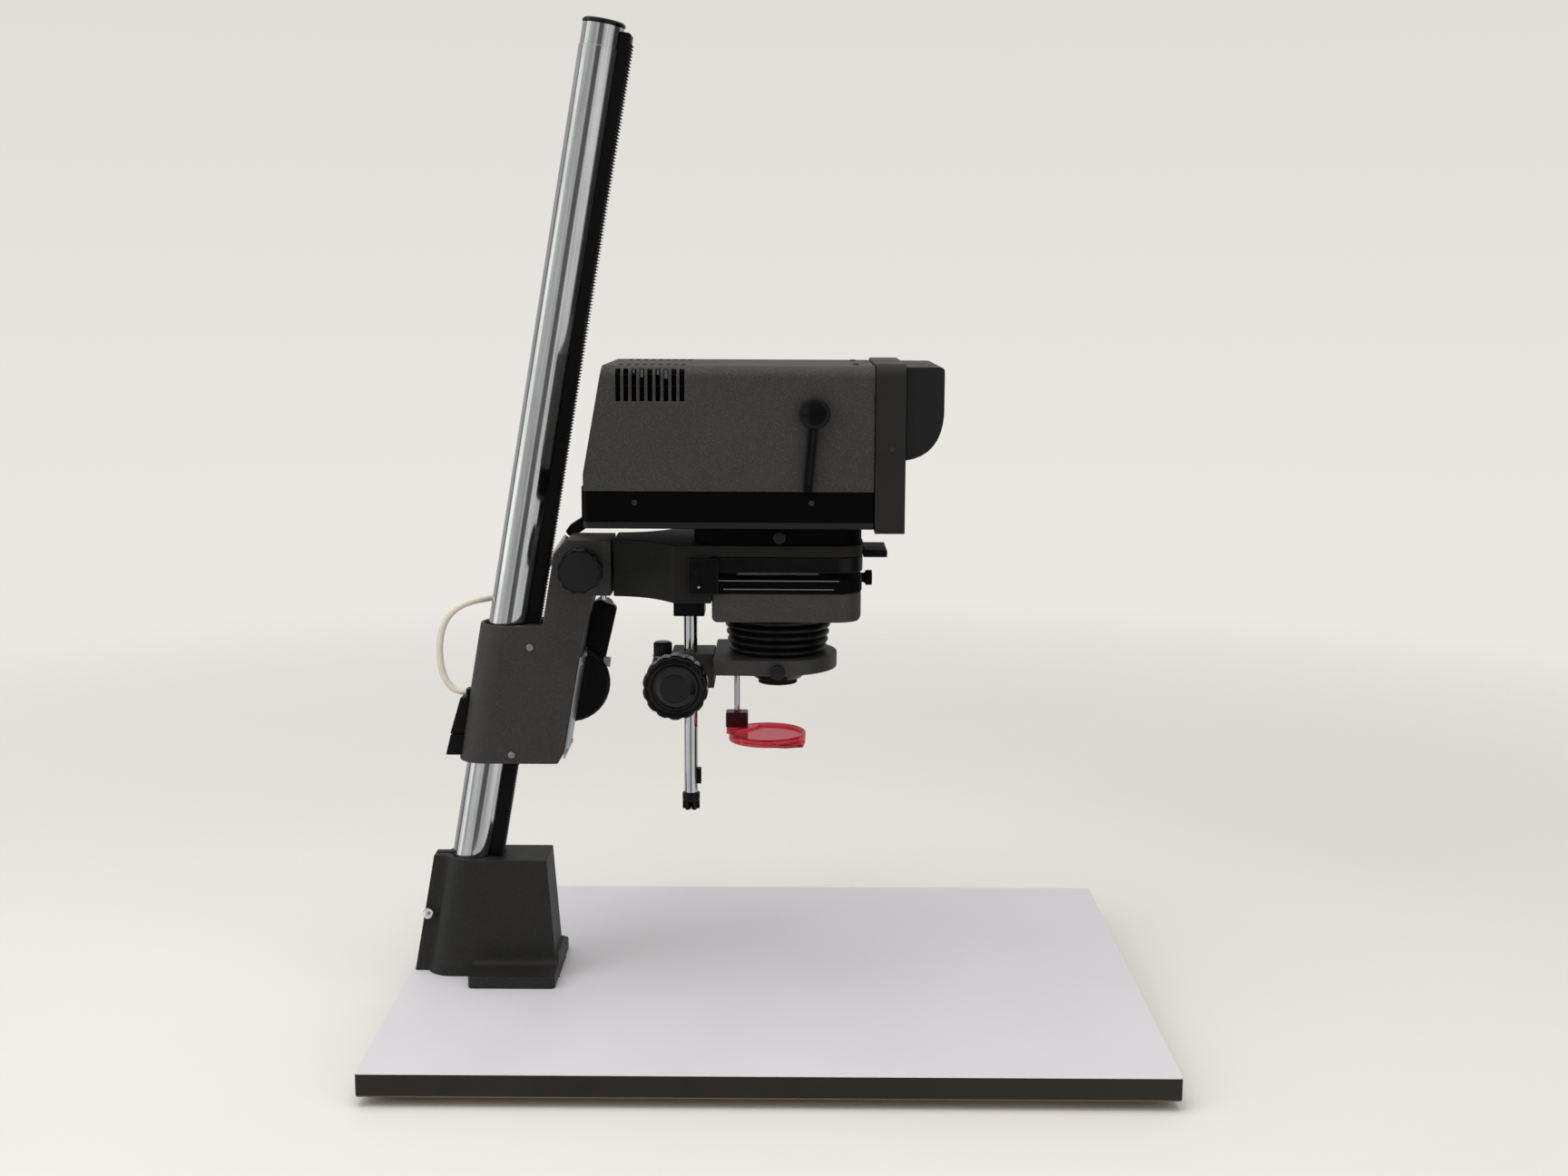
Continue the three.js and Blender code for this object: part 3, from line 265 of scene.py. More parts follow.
def build_materials():
    return {
        "textured_paint": textured_paint(
            "carriage_paint", (0.0225, 0.0205, 0.0185), (0.062, 0.057, 0.051),
            1500, 0.10 * MM, (0.085, 0.08, 0.073)),
        "lamphouse_paint": textured_paint(
            "lamphouse_paint", (0.0245, 0.0225, 0.0205), (0.085, 0.078, 0.07),
            1150, 0.16 * MM, (0.085, 0.08, 0.073)),
        # Painted shade: a darker copy of the carriage paint for the head arm, standing for the shadow under
        # the lamphouse.
        "shaded_arm_paint": textured_paint(
            "shaded_arm_paint", (0.0075, 0.007, 0.0065), (0.022, 0.0205, 0.019),
            1500, 0.10 * MM, (0.036, 0.034, 0.031), sheen=0.2),
        "foot_paint": textured_paint(
            "foot_paint", (0.0115, 0.0112, 0.0103), (0.028, 0.027, 0.0245),
            900, 0.14 * MM, (0.045, 0.043, 0.04), sheen=0.3),
        "black_plastic": moulded_plastic("black_plastic", (0.0022, 0.0022, 0.0024), 0.30, sheen=0.2),
        "gloss_plastic": moulded_plastic(
            "gloss_black_plastic", (0.002, 0.002, 0.0022), 0.17, 500, 0.01 * MM, sheen=0.3),
        "matt_black": moulded_plastic("matt_black", (0.003, 0.003, 0.0031), 0.5, 1200, 0.06 * MM, sheen=0.15),
        "tray_black": moulded_plastic("tray_black", (0.001, 0.001, 0.001), 0.55, 1200, 0.05 * MM, sheen=0.06),
        "hood_plastic": moulded_plastic("hood_plastic", (0.0072, 0.0068, 0.0068), 0.40, 1300, 0.05 * MM),
        "bezel_plastic": moulded_plastic("bezel_plastic", (0.013, 0.0115, 0.0105), 0.42, 1300, 0.05 * MM),
        "knob_face": moulded_plastic(
            "knob_face", (0.0085, 0.0085, 0.0088), 0.46, 1300, 0.05 * MM, sheen=0.25),
        "rack_black": moulded_plastic(
            "rack_black", (0.0025, 0.0025, 0.0025), 0.46, 700, 0.08 * MM, (0.014, 0.014, 0.014), sheen=0.12),
        "board_edge": moulded_plastic(
            "board_edging", (0.0185, 0.0158, 0.0125), 0.4, 600, 0.04 * MM, (0.04, 0.04, 0.04)),
        "rubber": moulded_plastic("rubber", (0.012, 0.012, 0.012), 0.75, 1500, 0.08 * MM),
        "cream_lead": moulded_plastic("cream_lead", (0.64, 0.585, 0.51), 0.42, 700, 0.03 * MM),
        "nylon": moulded_plastic("nylon", (0.62, 0.58, 0.47), 0.5),
        "white_plastic": moulded_plastic("white_plastic", (0.78, 0.77, 0.72), 0.5),
        "dark_red": moulded_plastic(
            "dark_red_plastic", (0.045, 0.004, 0.007), 0.24, 500, 0.02 * MM, (0.12, 0.01, 0.015)),
        "chrome": bright_metal("chrome", (0.80, 0.81, 0.82), 0.06),
        # Column and rail chrome carry darker streaks along their length: partly drawing marks, partly painted
        # reflection bands.
        "column_chrome": bright_metal(
            "column_chrome", (0.80, 0.805, 0.81), 0.08, (1, 1, 60), 0.06, math.atan2(SLIDE.x, SLIDE.z), 0.6),
        "rail_chrome": bright_metal("rail_chrome", (0.80, 0.81, 0.82), 0.06, (1, 1, 60), 0.05, streaks=0.3),
        "steel": bright_metal("steel", (0.52, 0.53, 0.54), 0.26, (1, 10, 1)),
        "screw_steel": bright_metal("screw_steel", (0.60, 0.60, 0.60), 0.24),
        "dark_screw": bright_metal("blackened_screw", (0.10, 0.098, 0.095), 0.3),
        "brass": bright_metal("brass", (0.66, 0.48, 0.2), 0.24),
        "reflector": bright_metal("reflector", (0.83, 0.82, 0.78), 0.14),
        "laminate": laminate_sheet(),
        "laminate_edge": moulded_plastic("laminate_edge", (0.74, 0.74, 0.74), 0.45),
        "hardboard": backing_board(),
        "bellows_cloth": bellows_cloth(),
        "red_acrylic": red_filter_acrylic(),
        "clear_glass": clear_glass("clear_glass", (0.95, 0.97, 0.97)),
        "opal": clear_glass("opal", (0.9, 0.9, 0.88), 0.5),
        "dial_yellow": dial_plastic("dial_yellow", (0.72, 0.56, 0.03)),
        "dial_magenta": dial_plastic("dial_magenta", (0.52, 0.03, 0.23)),
        "dial_cyan": dial_plastic("dial_cyan", (0.03, 0.31, 0.52)),
    }


# ---------------------------------------------------------------- measuring
def span(node, turn=UPRIGHT):
    """Lowest and highest corners of a CAD node, in the row frame or in a turned one."""
    back = turn.inverted()
    corners = [back @ v.co for v in frame["nodes"][node].data.vertices]
    low = Vector([min(c[i] for c in corners) for i in range(3)])
    high = Vector([max(c[i] for c in corners) for i in range(3)])
    return low, high


def middle(node, turn=UPRIGHT):
    low, high = span(node, turn)
    return (low + high) / 2


def measured(node):
    """A round node's lowest and highest corners, its centre, and its radius along X."""
    low, high = span(node)
    return low, high, (low + high) / 2, (high.x - low.x) / 2


def joint(name):
    return next(j for j in frame["joints"] if j["name"] == name)


# ---------------------------------------------------------------- mesh building
def bridge(bm, one, other):
    """Joins two rings of equally many vertices with a band of quads."""
    for i in range(len(one)):
        j = (i + 1) % len(one)
        bm.faces.new((one[i], one[j], other[j], other[i]))


def piece_from(name, bm, material, angle=32):
    """An object from a bmesh, smooth but creased wherever faces meet more sharply than angle."""
    bmesh.ops.recalc_face_normals(bm, faces=bm.faces)
    mesh = bpy.data.meshes.new(name)
    bm.to_mesh(mesh)
    bm.free()
    mesh.shade_smooth()
    mesh.set_sharp_from_angle(angle=math.radians(angle))
    mesh.materials.append(MATERIALS[material])
    return linked(name, mesh)


def finished(piece, body, slot, *nodes):
    """Hangs a piece on its CAD body and hides the CAD nodes that it stands for."""
    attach(piece, body)
    if nodes:
        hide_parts(*nodes)
    return piece


def round_edges(bm, width, segments=2, sharper_than=28):
    """Rounds the sharp edges and marks the new narrow faces, which the finishes paint paler, partly as wear
    and partly as painted highlight.
    """
    if width:
        edges = [e for e in bm.edges if e.is_manifold and e.calc_face_angle(0) > math.radians(sharper_than)]
        made = bmesh.ops.bevel(
            bm, geom=edges, offset=width, segments=segments, profile=0.5, affect="EDGES", clamp_overlap=False)
        rounded_bands = set(made["faces"])
    else:
        rounded_bands = set()
    layer = bm.faces.layers.float.new("rounded_edge")
    for face in bm.faces:
        face[layer] = 1.0 if face in rounded_bands else 0.0


def level_normals(piece):
    """Keeps large flat faces flat in shading beside their rounded edges."""
    modifier = piece.modifiers.new("level", "WEIGHTED_NORMAL")
    modifier.keep_sharp = True
    modifier.weight = 60
    depsgraph = bpy.context.evaluated_depsgraph_get()
    mesh = bpy.data.meshes.new_from_object(piece.evaluated_get(depsgraph))
    piece.modifiers.clear()
    piece.data = mesh
    return piece


def refined(node, material, width, body, slot=None, segments=2):
    """A copy of a CAD node with its facets merged, its edges rounded and a finish; it stands for the node."""
    bm = bmesh.new()
    bm.from_mesh(frame["nodes"][node].data)
    bmesh.ops.remove_doubles(bm, verts=bm.verts, dist=0.12 * MM)
    bmesh.ops.dissolve_limit(bm, angle_limit=math.radians(0.8), verts=bm.verts, edges=bm.edges)
    bmesh.ops.connect_verts_concave(bm, faces=bm.faces[:])
    round_edges(bm, width, segments)
    bmesh.ops.connect_verts_concave(bm, faces=bm.faces[:])
    piece = level_normals(piece_from(node + "_finished", bm, material))
    return finished(piece, body, slot or material, node)


def softened(profile, reach, steps=3):
    """A [radius, height] profile with each corner off the axis rounded by a short curve."""
    points = [Vector(p) for p in profile]
    closed = profile[0][0] > 0 and profile[0] != profile[-1]
    result = []
    for i, corner in enumerate(points):
        if not closed and i in (0, len(points) - 1):
            result.append(corner)
            continue
        before, after = points[i - 1], points[(i + 1) % len(points)]
        start = corner + (before - corner) * min(0.45, reach / max((before - corner).length, 1e-9))
        end = corner + (after - corner) * min(0.45, reach / max((after - corner).length, 1e-9))
        for k in range(steps + 1):
            t = k / steps
            result.append(start * (1 - t) ** 2 + corner * 2 * t * (1 - t) + end * t ** 2)
    return [tuple(p) for p in result]


def lobes(count, depth, beyond, sharpness=1.0):
    """Finger lobes or knurls: how much a ring wider than beyond draws in at each angle."""
    def draw_in(angle, radius):
        if radius < beyond:
            return 0.0
        return depth * ((1 + math.cos(count * angle)) / 2) ** sharpness
    return draw_in


def turned_mesh(profile, centre, axis=Z, segments=96, grip=None):
    """A bmesh turned from a [radius, height] profile round an axis through centre."""
    bm = bmesh.new()
    rings = []
    for radius, height in profile:
        if radius < 1e-7:
            rings.append([bm.verts.new((0, 0, height))] * segments)
            continue
        ring = []
        for i in range(segments):
            angle = 2 * math.pi * i / segments
            r = radius - (grip(angle, radius) if grip else 0)
            ring.append(bm.verts.new((r * math.cos(angle), r * math.sin(angle), height)))
        rings.append(ring)
    pairs = list(zip(rings, rings[1:]))
    if profile[0][0] > 1e-7:
        pairs.append((rings[-1], rings[0]))
    for one, other in pairs:
        for i in range(segments):
            j = (i + 1) % segments
            corners = list(dict.fromkeys((one[i], one[j], other[j], other[i])))
            if len(corners) > 2:
                bm.faces.new(corners)
    turn = Z.rotation_difference(Vector(axis)).to_matrix().to_4x4()
    bmesh.ops.transform(bm, matrix=Matrix.Translation(centre) @ turn, verts=bm.verts)
    return bm


def turned(name, material, profile, centre, axis=Z, segments=96, grip=None, soften=0.3 * MM):
    shape = softened(profile, soften) if soften else profile
    return piece_from(name, turned_mesh(shape, centre, axis, segments, grip), material)


def rod(radius, low, high):
    return [(0, low), (radius, low), (radius, high), (0, high)]


def pipe(inner, outer, low, high):
    return [(inner, low), (outer, low), (outer, high), (inner, high)]


PLANES = {
    "X": lambda a, b, t: (t, a, b),
    "Y": lambda a, b, t: (a, t, b),
    "Z": lambda a, b, t: (a, b, t),
}


def prism_mesh(outline, low, high, across="Z"):
    """A bmesh of an outline in the plane across an axis, pushed along it from low to high."""
    bm = bmesh.new()
    ends = [[bm.verts.new(PLANES[across](a, b, t)) for a, b in outline] for t in (low, high)]
    bm.faces.new(ends[0])
    bm.faces.new(ends[1])
    bridge(bm, *ends)
    bmesh.ops.recalc_face_normals(bm, faces=bm.faces)
    return bm


def prism(name, material, outline, low, high, across="Z", width=0.3 * MM, place=UPRIGHT):
    bm = prism_mesh(outline, low, high, across)
    round_edges(bm, width)
    bmesh.ops.transform(bm, matrix=place, verts=bm.verts)
    return level_normals(piece_from(name, bm, material))


def slab(name, material, low, high, width=0.3 * MM, place=UPRIGHT):
    outline = [(low[0], low[1]), (high[0], low[1]), (high[0], high[1]), (low[0], high[1])]
    return prism(name, material, outline, low[2], high[2], "Z", width, place)


def arc(cx, cy, radius, start, end, steps):
    angles = [math.radians(start + (end - start) * i / steps) for i in range(steps + 1)]
    return [(cx + radius * math.cos(a), cy + radius * math.sin(a)) for a in angles]


def rounded_plan(low, high, front, rear, steps=10):
    """A rectangle in X and Y with its front and rear corners rounded."""
    return [
        *arc(high[0] - front, low[1] + front, front, -90, 0, steps),
        *arc(high[0] - front, high[1] - front, front, 0, 90, steps),
        *arc(low[0] + rear, high[1] - rear, rear, 90, 180, steps),
        *arc(low[0] + rear, low[1] + rear, rear, 180, 270, steps),
    ]


def screw(name, centre, axis, radius, body, slot="steel", slot_angle=35, material="screw_steel"):
    """A slotted pan head that stands on a face at centre and looks along axis."""
    height = radius * 0.5
    half_slot = radius * 0.14
    rim = [(0, -0.3 * MM), (radius, -0.3 * MM), (radius, height * 0.5),
           (radius * 0.9, height * 0.55), (0, height * 0.55)]
    head = turned_mesh(softened(rim, 0.15 * MM), (0, 0, 0), Z, 36)
    opening = math.degrees(math.asin(half_slot / (radius * 0.93)))
    for side in (0, 180):
        crown = arc(0, 0, radius * 0.93, side + opening, side + 180 - opening, 14)
        shell = prism_mesh(crown, height * 0.4, height, "Z")
        bmesh.ops.bevel(shell, geom=shell.edges[:], offset=radius * 0.08, segments=1, affect="EDGES")
        half = bpy.data.meshes.new("half")
        shell.to_mesh(half)
        shell.free()
        head.from_mesh(half)
        bpy.data.meshes.remove(half)
    turn = Z.rotation_difference(Vector(axis)).to_matrix().to_4x4()
    place = Matrix.Translation(centre) @ turn @ Matrix.Rotation(math.radians(slot_angle), 4, "Z")
    bmesh.ops.transform(head, matrix=place, verts=head.verts)
    return finished(piece_from(name, head, material), body, slot)


def catmull_rom(points, per_span):
    """The smooth centripetal curve through the points, sampled."""
    pts = [Vector(p) for p in points]
    pts = [pts[0] * 2 - pts[1], *pts, pts[-1] * 2 - pts[-2]]
    samples = []
    for p0, p1, p2, p3 in zip(pts, pts[1:], pts[2:], pts[3:]):
        t0 = 0.0
        t1 = t0 + (p1 - p0).length ** 0.5
        t2 = t1 + (p2 - p1).length ** 0.5
        t3 = t2 + (p3 - p2).length ** 0.5
        for k in range(per_span):
            t = t1 + (t2 - t1) * k / per_span
            a1 = p0 * ((t1 - t) / (t1 - t0)) + p1 * ((t - t0) / (t1 - t0))
            a2 = p1 * ((t2 - t) / (t2 - t1)) + p2 * ((t - t1) / (t2 - t1))
            a3 = p2 * ((t3 - t) / (t3 - t2)) + p3 * ((t - t2) / (t3 - t2))
            b1 = a1 * ((t2 - t) / (t2 - t0)) + a2 * ((t - t0) / (t2 - t0))
            b2 = a2 * ((t3 - t) / (t3 - t1)) + a3 * ((t - t1) / (t3 - t1))
            samples.append(b1 * ((t2 - t) / (t2 - t1)) + b2 * ((t - t1) / (t2 - t1)))
    samples.append(Vector(points[-1]))
    return samples


def tube_along(path, radius, sides=20):
    """A bmesh tube with closed ends that follows a path without twisting."""
    bm = bmesh.new()
    tangent = (path[1] - path[0]).normalized()
    normal = tangent.orthogonal().normalized()
    rings = []
    for i, point in enumerate(path):
        ahead = path[min(i + 1, len(path) - 1)] - path[max(i - 1, 0)]
        turn = tangent.rotation_difference(ahead.normalized())
        normal = (turn @ normal).normalized()
        tangent = ahead.normalized()
        across = tangent.cross(normal)
        rings.append([
            bm.verts.new(point + (normal * math.cos(a) + across * math.sin(a)) * radius)
            for a in (2 * math.pi * k / sides for k in range(sides))])
    for one, other in zip(rings, rings[1:]):
        bridge(bm, one, other)
    bm.faces.new(rings[0])
    bm.faces.new(rings[-1])
    return bm


# ---------------------------------------------------------------- the lamp lead
LEAD_DIAMETER = 5.5 * MM
LEAD_ROUTE = [
    (-0.2503, 0.0000, 0.2619), (-0.2555, 0.0000, 0.2623), (-0.2600, 0.0000, 0.2639),
    (-0.2636, 0.0000, 0.2668), (-0.2666, 0.0000, 0.2710), (-0.2689, 0.0000, 0.2764),
    (-0.2705, 0.0000, 0.2830), (-0.2713, 0.0000, 0.2902), (-0.2715, 0.0000, 0.2965),
    (-0.2711, 0.0000, 0.3030), (-0.2697, 0.0000, 0.3108), (-0.2673, 0.0000, 0.3180),
    (-0.2634, 0.0000, 0.3246), (-0.2576, 0.0006, 0.3304), (-0.2502, 0.0020, 0.3344),
    (-0.2415, 0.0060, 0.3366), (-0.2310, 0.0145, 0.3375), (-0.2190, 0.0210, 0.3400),
    (-0.2060, 0.0250, 0.3445), (-0.1950, 0.0280, 0.3520), (-0.1860, 0.0315, 0.3625),
    (-0.1785, 0.0345, 0.3740), (-0.1715, 0.0360, 0.3845),
]


def build_lead():
    """The lead is a fixed tube along its route; its tail rides on the lamphouse and covers the gap of a lift.
    """
    path = catmull_rom(LEAD_ROUTE, 8)
    lead = piece_from("lamp_lead_sheath", tube_along(path, LEAD_DIAMETER / 2), "cream_lead", 60)
    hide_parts("lamp_lead")
    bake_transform(lead)
    beyond = path[-1] * 2 - path[-2]
    tail = piece_from("lamp_lead_tail", tube_along([*path[-6:], beyond], 2.65 * MM), "cream_lead", 60)
    finished(tail, "lamphouse", "cream_lead")
    plug = refined("lead_plug", "black_plastic", 0.8 * MM, "carriage")


# ---------------------------------------------------------------- baseboard and column foot
def build_board():
    low, high = span("baseboard")
    sheet = 0.9 * MM
    corner = 1.5 * MM
    sides = rounded_plan(low, high, corner, corner, 4)
    core = prism("board_edging", "board_edge", sides, low.z + sheet, high.z - sheet, "Z", 0.35 * MM)
    finished(core, "base", "laminate", "baseboard")
    inset = Vector((0.25, 0.25, 0)) * MM
    plan = rounded_plan(low + inset, high - inset, corner, corner, 4)
    face = prism("board_laminate", "laminate", plan, high.z - sheet, high.z, "Z", 0.18 * MM)
    face.data.materials.append(MATERIALS["laminate_edge"])
    for polygon in face.data.polygons:
        polygon.material_index = int(polygon.normal.z < 0.9)
    finished(face, "base", "laminate", "baseboard")
    back = prism("board_backing", "hardboard", plan, low.z, low.z + sheet, "Z", 0.15 * MM)
    finished(back, "base", "laminate", "baseboard")
    for i in range(1, 5):
        build_board_foot(f"board_foot_{i}")


def build_board_foot(node):
    low, high, centre, radius = measured(node)
    height = high.z - low.z
    recess = radius * 0.45
    profile = [(0, height * 0.5), (recess, height * 0.5), (recess, 0), (radius * 0.9, 0),
               (radius, height * 0.25), (radius, height), (0, height)]
    pad = turned(node + "_pad", "rubber", profile, (centre.x, centre.y, low.z), Z, 64, soften=0.9 * MM)
    finished(pad, "base", "rubber", node)
    screw(node + "_screw", (centre.x, centre.y, low.z + height * 0.5), -Z, recess * 0.75, "base")


def build_column_foot():
    refined("column_foot", "foot_paint", 0.9 * MM, "base", segments=3)
    low, high, centre, radius = measured("foot_clamp_bolt")
    head_depth = 5.2 * MM
    reach = high.y - low.y - 4.2 * MM
    head = turned("clamp_bolt_head", "chrome", [
        (0, 0), (radius * 0.55, 0.5 * MM), (radius * 0.9, 1.9 * MM), (radius, 3.4 * MM), (radius, head_depth),
        (radius * 0.44, head_depth), (radius * 0.44, reach), (0, reach)],
        (centre.x, low.y, centre.z), Y, 64, soften=0.4 * MM)
    finished(head, "base", "chrome", "foot_clamp_bolt")
    corners = arc(centre.x, centre.z, radius, 0, 300, 5)
    nut = prism("clamp_bolt_nut", "steel", corners, high.y - 4.2 * MM, high.y, "Y", 0.4 * MM)
    finished(nut, "base", "steel", "foot_clamp_bolt")


def build_column():
    low, high = span("column_tube", LEANED)
    centre = (low + high) / 2
    radius = (high.x - low.x) / 2
    wall = 2 * MM
    neck = radius - 0.45 * MM
    shoulder = high.z - 17 * MM
    origin = LEANED @ Vector((centre.x, centre.y, 0))
    tube = turned("column_tube_plated", "column_chrome", [
        (radius - wall, low.z), (radius, low.z), (radius, shoulder), (neck, shoulder + 0.3 * MM),
        (neck, high.z), (radius - wall, high.z)], origin, SLIDE, 192, soften=0.25 * MM)
    finished(tube, "base", "chrome", "column_tube")

    cap_low, cap_high = span("column_cap", LEANED)
    cap_radius = (cap_high.x - cap_low.x) / 2
    spigot = radius - wall - 0.3 * MM
    rim = high.z + 0.3 * MM
    cap = turned("column_cap_domed", "gloss_plastic", [
        (0, cap_low.z), (spigot, cap_low.z), (spigot, rim), (cap_radius, rim), (cap_radius, rim + 2.1 * MM),
        (cap_radius - 1.6 * MM, cap_high.z - 0.5 * MM), (0, cap_high.z)], origin, SLIDE, 128, soften=0.8 * MM)
    finished(cap, "base", "black_plastic", "column_cap")
    build_rack(centre.x, radius)


def build_rack(tube_u, tube_radius):
    """The rack is lofted up the column: a bar hollowed to the tube, with flat-topped cut teeth."""
    low, high = span("column_rack", LEANED)
    half = high.y
    tip, root = high.x, high.x - 1.7 * MM
    pitch = math.pi * MODULE
    seat = tube_radius + 0.25 * MM
    opening = math.degrees(math.asin(min(1, half / seat)))
    back = [(tube_u + a, b) for a, b in arc(0, 0, seat, -opening, opening, 12)]
    drive = (LEANED.inverted() @ Vector(joint("pinion_spin")["pos_m"])).z
    first = math.ceil((low.z + 3 * MM - drive) / pitch)
    last = math.floor((high.z - 6 * MM - drive) / pitch)
    stations = [(low.z, root)]
    for i in range(first, last):
        gap = drive + i * pitch
        stations += [(gap + 0.22 * pitch, root), (gap + 0.40 * pitch, tip), (gap + 0.60 * pitch, tip),
                     (gap + 0.78 * pitch, root)]
    stations += [(high.z - 1.2 * MM, root), (high.z, root - 1.6 * MM)]
    bm = bmesh.new()
    bevel = 0.4 * MM
    sections = []
    for w, u in stations:
        outline = [*back, (u - bevel, half), (u, half - bevel), (u, -half + bevel), (u - bevel, -half)]
        sections.append([bm.verts.new(LEANED @ Vector((a, b, w))) for a, b in outline])
    for one, other in zip(sections, sections[1:]):
        bridge(bm, one, other)
    bm.faces.new(sections[0])
    bm.faces.new(sections[-1])
    finished(piece_from("column_rack_toothed", bm, "rack_black", 20), "base", "matt_black", "column_rack")


# ---------------------------------------------------------------- carriage and drive
def build_carriage():
    refined("carriage_housing", "textured_paint", 0.9 * MM, "carriage", segments=3)
    refined("carriage_front_plate", "steel", 0.3 * MM, "carriage")
    for node in ("guide_bush_lower", "guide_bush_upper"):
        refined(node, "nylon", 0.3 * MM, "carriage")
    refined("cable_socket", "black_plastic", 0.8 * MM, "carriage")

    low, high = span("carriage_housing")
    for name, ahead, up, angle in (("upper", 62, 96.3, 60), ("lower", 45.7, 7.5, -20)):
        x, z = low.x + ahead * MM, low.z + up * MM
        screw(f"casing_screw_{name}", (x, low.y, z), -Y, 2.7 * MM, "carriage", slot_angle=angle)
        screw(f"casing_screw_{name}_far", (x, high.y, z), Y, 2.7 * MM, "carriage", slot_angle=angle + 50)

    plate_low, plate_high = span("carriage_front_plate", LEANED)
    inset = 5 * MM
    forwards = LEANED.to_3x3() @ X
    for i, y in enumerate((plate_low.y + inset, plate_high.y - inset)):
        for j, z in enumerate((plate_low.z + inset, plate_high.z - inset)):
            place = LEANED @ Vector((plate_high.x, y, z))
            name = f"front_plate_screw_{2 * i + j + 1}"
            screw(name, place, forwards, 2.1 * MM, "carriage", slot_angle=25 + 40 * i + 70 * j)

    pin_low, pin_high = span("index_pin")
    centre = middle("index_pin")
    length = pin_high.z - pin_low.z
    pin = turned("index_pin_turned", "chrome", [
        (0, 0), (1.6 * MM, 0), (2.6 * MM, 0.8 * MM), (2.6 * MM, 4 * MM), (2 * MM, 4 * MM),
        (2 * MM, length - 0.6 * MM), (1.4 * MM, length), (0, length)],
        (centre.x, centre.y, pin_low.z), Z, 48, soften=0.2 * MM)
    finished(pin, "index_pin", "chrome", "index_pin")
    build_clamp_knob()


def build_clamp_knob():
    low, high, centre, radius = measured("tilt_clamp_knob")
    place = (centre.x, low.y, centre.z)
    rim = turned("clamp_knob_rim", "gloss_plastic", [
        (0, 0.8 * MM), (radius - 2.4 * MM, 0.8 * MM), (radius - 2 * MM, 0), (radius - 0.6 * MM, 0.3 * MM),
        (radius, 1.6 * MM), (radius, 15 * MM), (radius - 1.5 * MM, 19 * MM), (radius - 3 * MM, 20.6 * MM),
        (0, 20.6 * MM)],
        place, Y, 192, lobes(12, 1.1 * MM, radius - 2.2 * MM, 0.8), 0.6 * MM)
    finished(rim, "clamp_knob", "black_plastic", "tilt_clamp_knob")
    face = turned("clamp_knob_face", "knob_face", [
        (0, 0.25 * MM), (radius - 2.9 * MM, 0.25 * MM), (radius - 2.7 * MM, 0.9 * MM), (0, 0.9 * MM)],
        place, Y, 96, soften=0.15 * MM)
    finished(face, "clamp_knob", "black_plastic", "tilt_clamp_knob")
    stem = turned("clamp_knob_screw", "steel", rod(4 * MM, 19 * MM, high.y - low.y), place, Y, 48)
    finished(stem, "clamp_knob", "steel", "tilt_clamp_knob")


def gear_outline(centre, teeth, steps=3):
    """A gear's outline with straight flanks between its top and root circles, one tooth at angle 0."""
    pitch_radius = MODULE * teeth / 2
    top, root = pitch_radius + 0.5 * MM, pitch_radius - 1.0 * MM
    points = []
    for i in range(teeth):
        mid = 360 / teeth * i
        share = 360 / teeth
        points += arc(centre.x, centre.z, top, mid - share * 0.09, mid + share * 0.09, 1)
        points += arc(centre.x, centre.z, root, mid + share * 0.34, mid + share * 0.66, steps)
    return points


def build_drive():
    for node, body, material, teeth, half, spin in (
            ("drive_pinion", "pinion", "brass", 32, 8 * MM, "pinion_spin"),
            ("crank_shaft_gear", "crank", "steel", 11, 7 * MM, "crank_spin")):
        low, high = span(node)
        centre = Vector(joint(spin)["pos_m"])
        about = Matrix.Translation(centre) @ LEANED @ Matrix.Translation(-centre)
        gear = prism(node + "_teeth", material, gear_outline(centre, teeth), -half, half, "Y", 0, about)
        finished(gear, body, material, node)
        shaft = turned(node + "_shaft", "steel", rod(3 * MM, low.y, high.y), (centre.x, 0, centre.z), Y, 48)
        finished(shaft, body, "steel", node)
    build_crank()


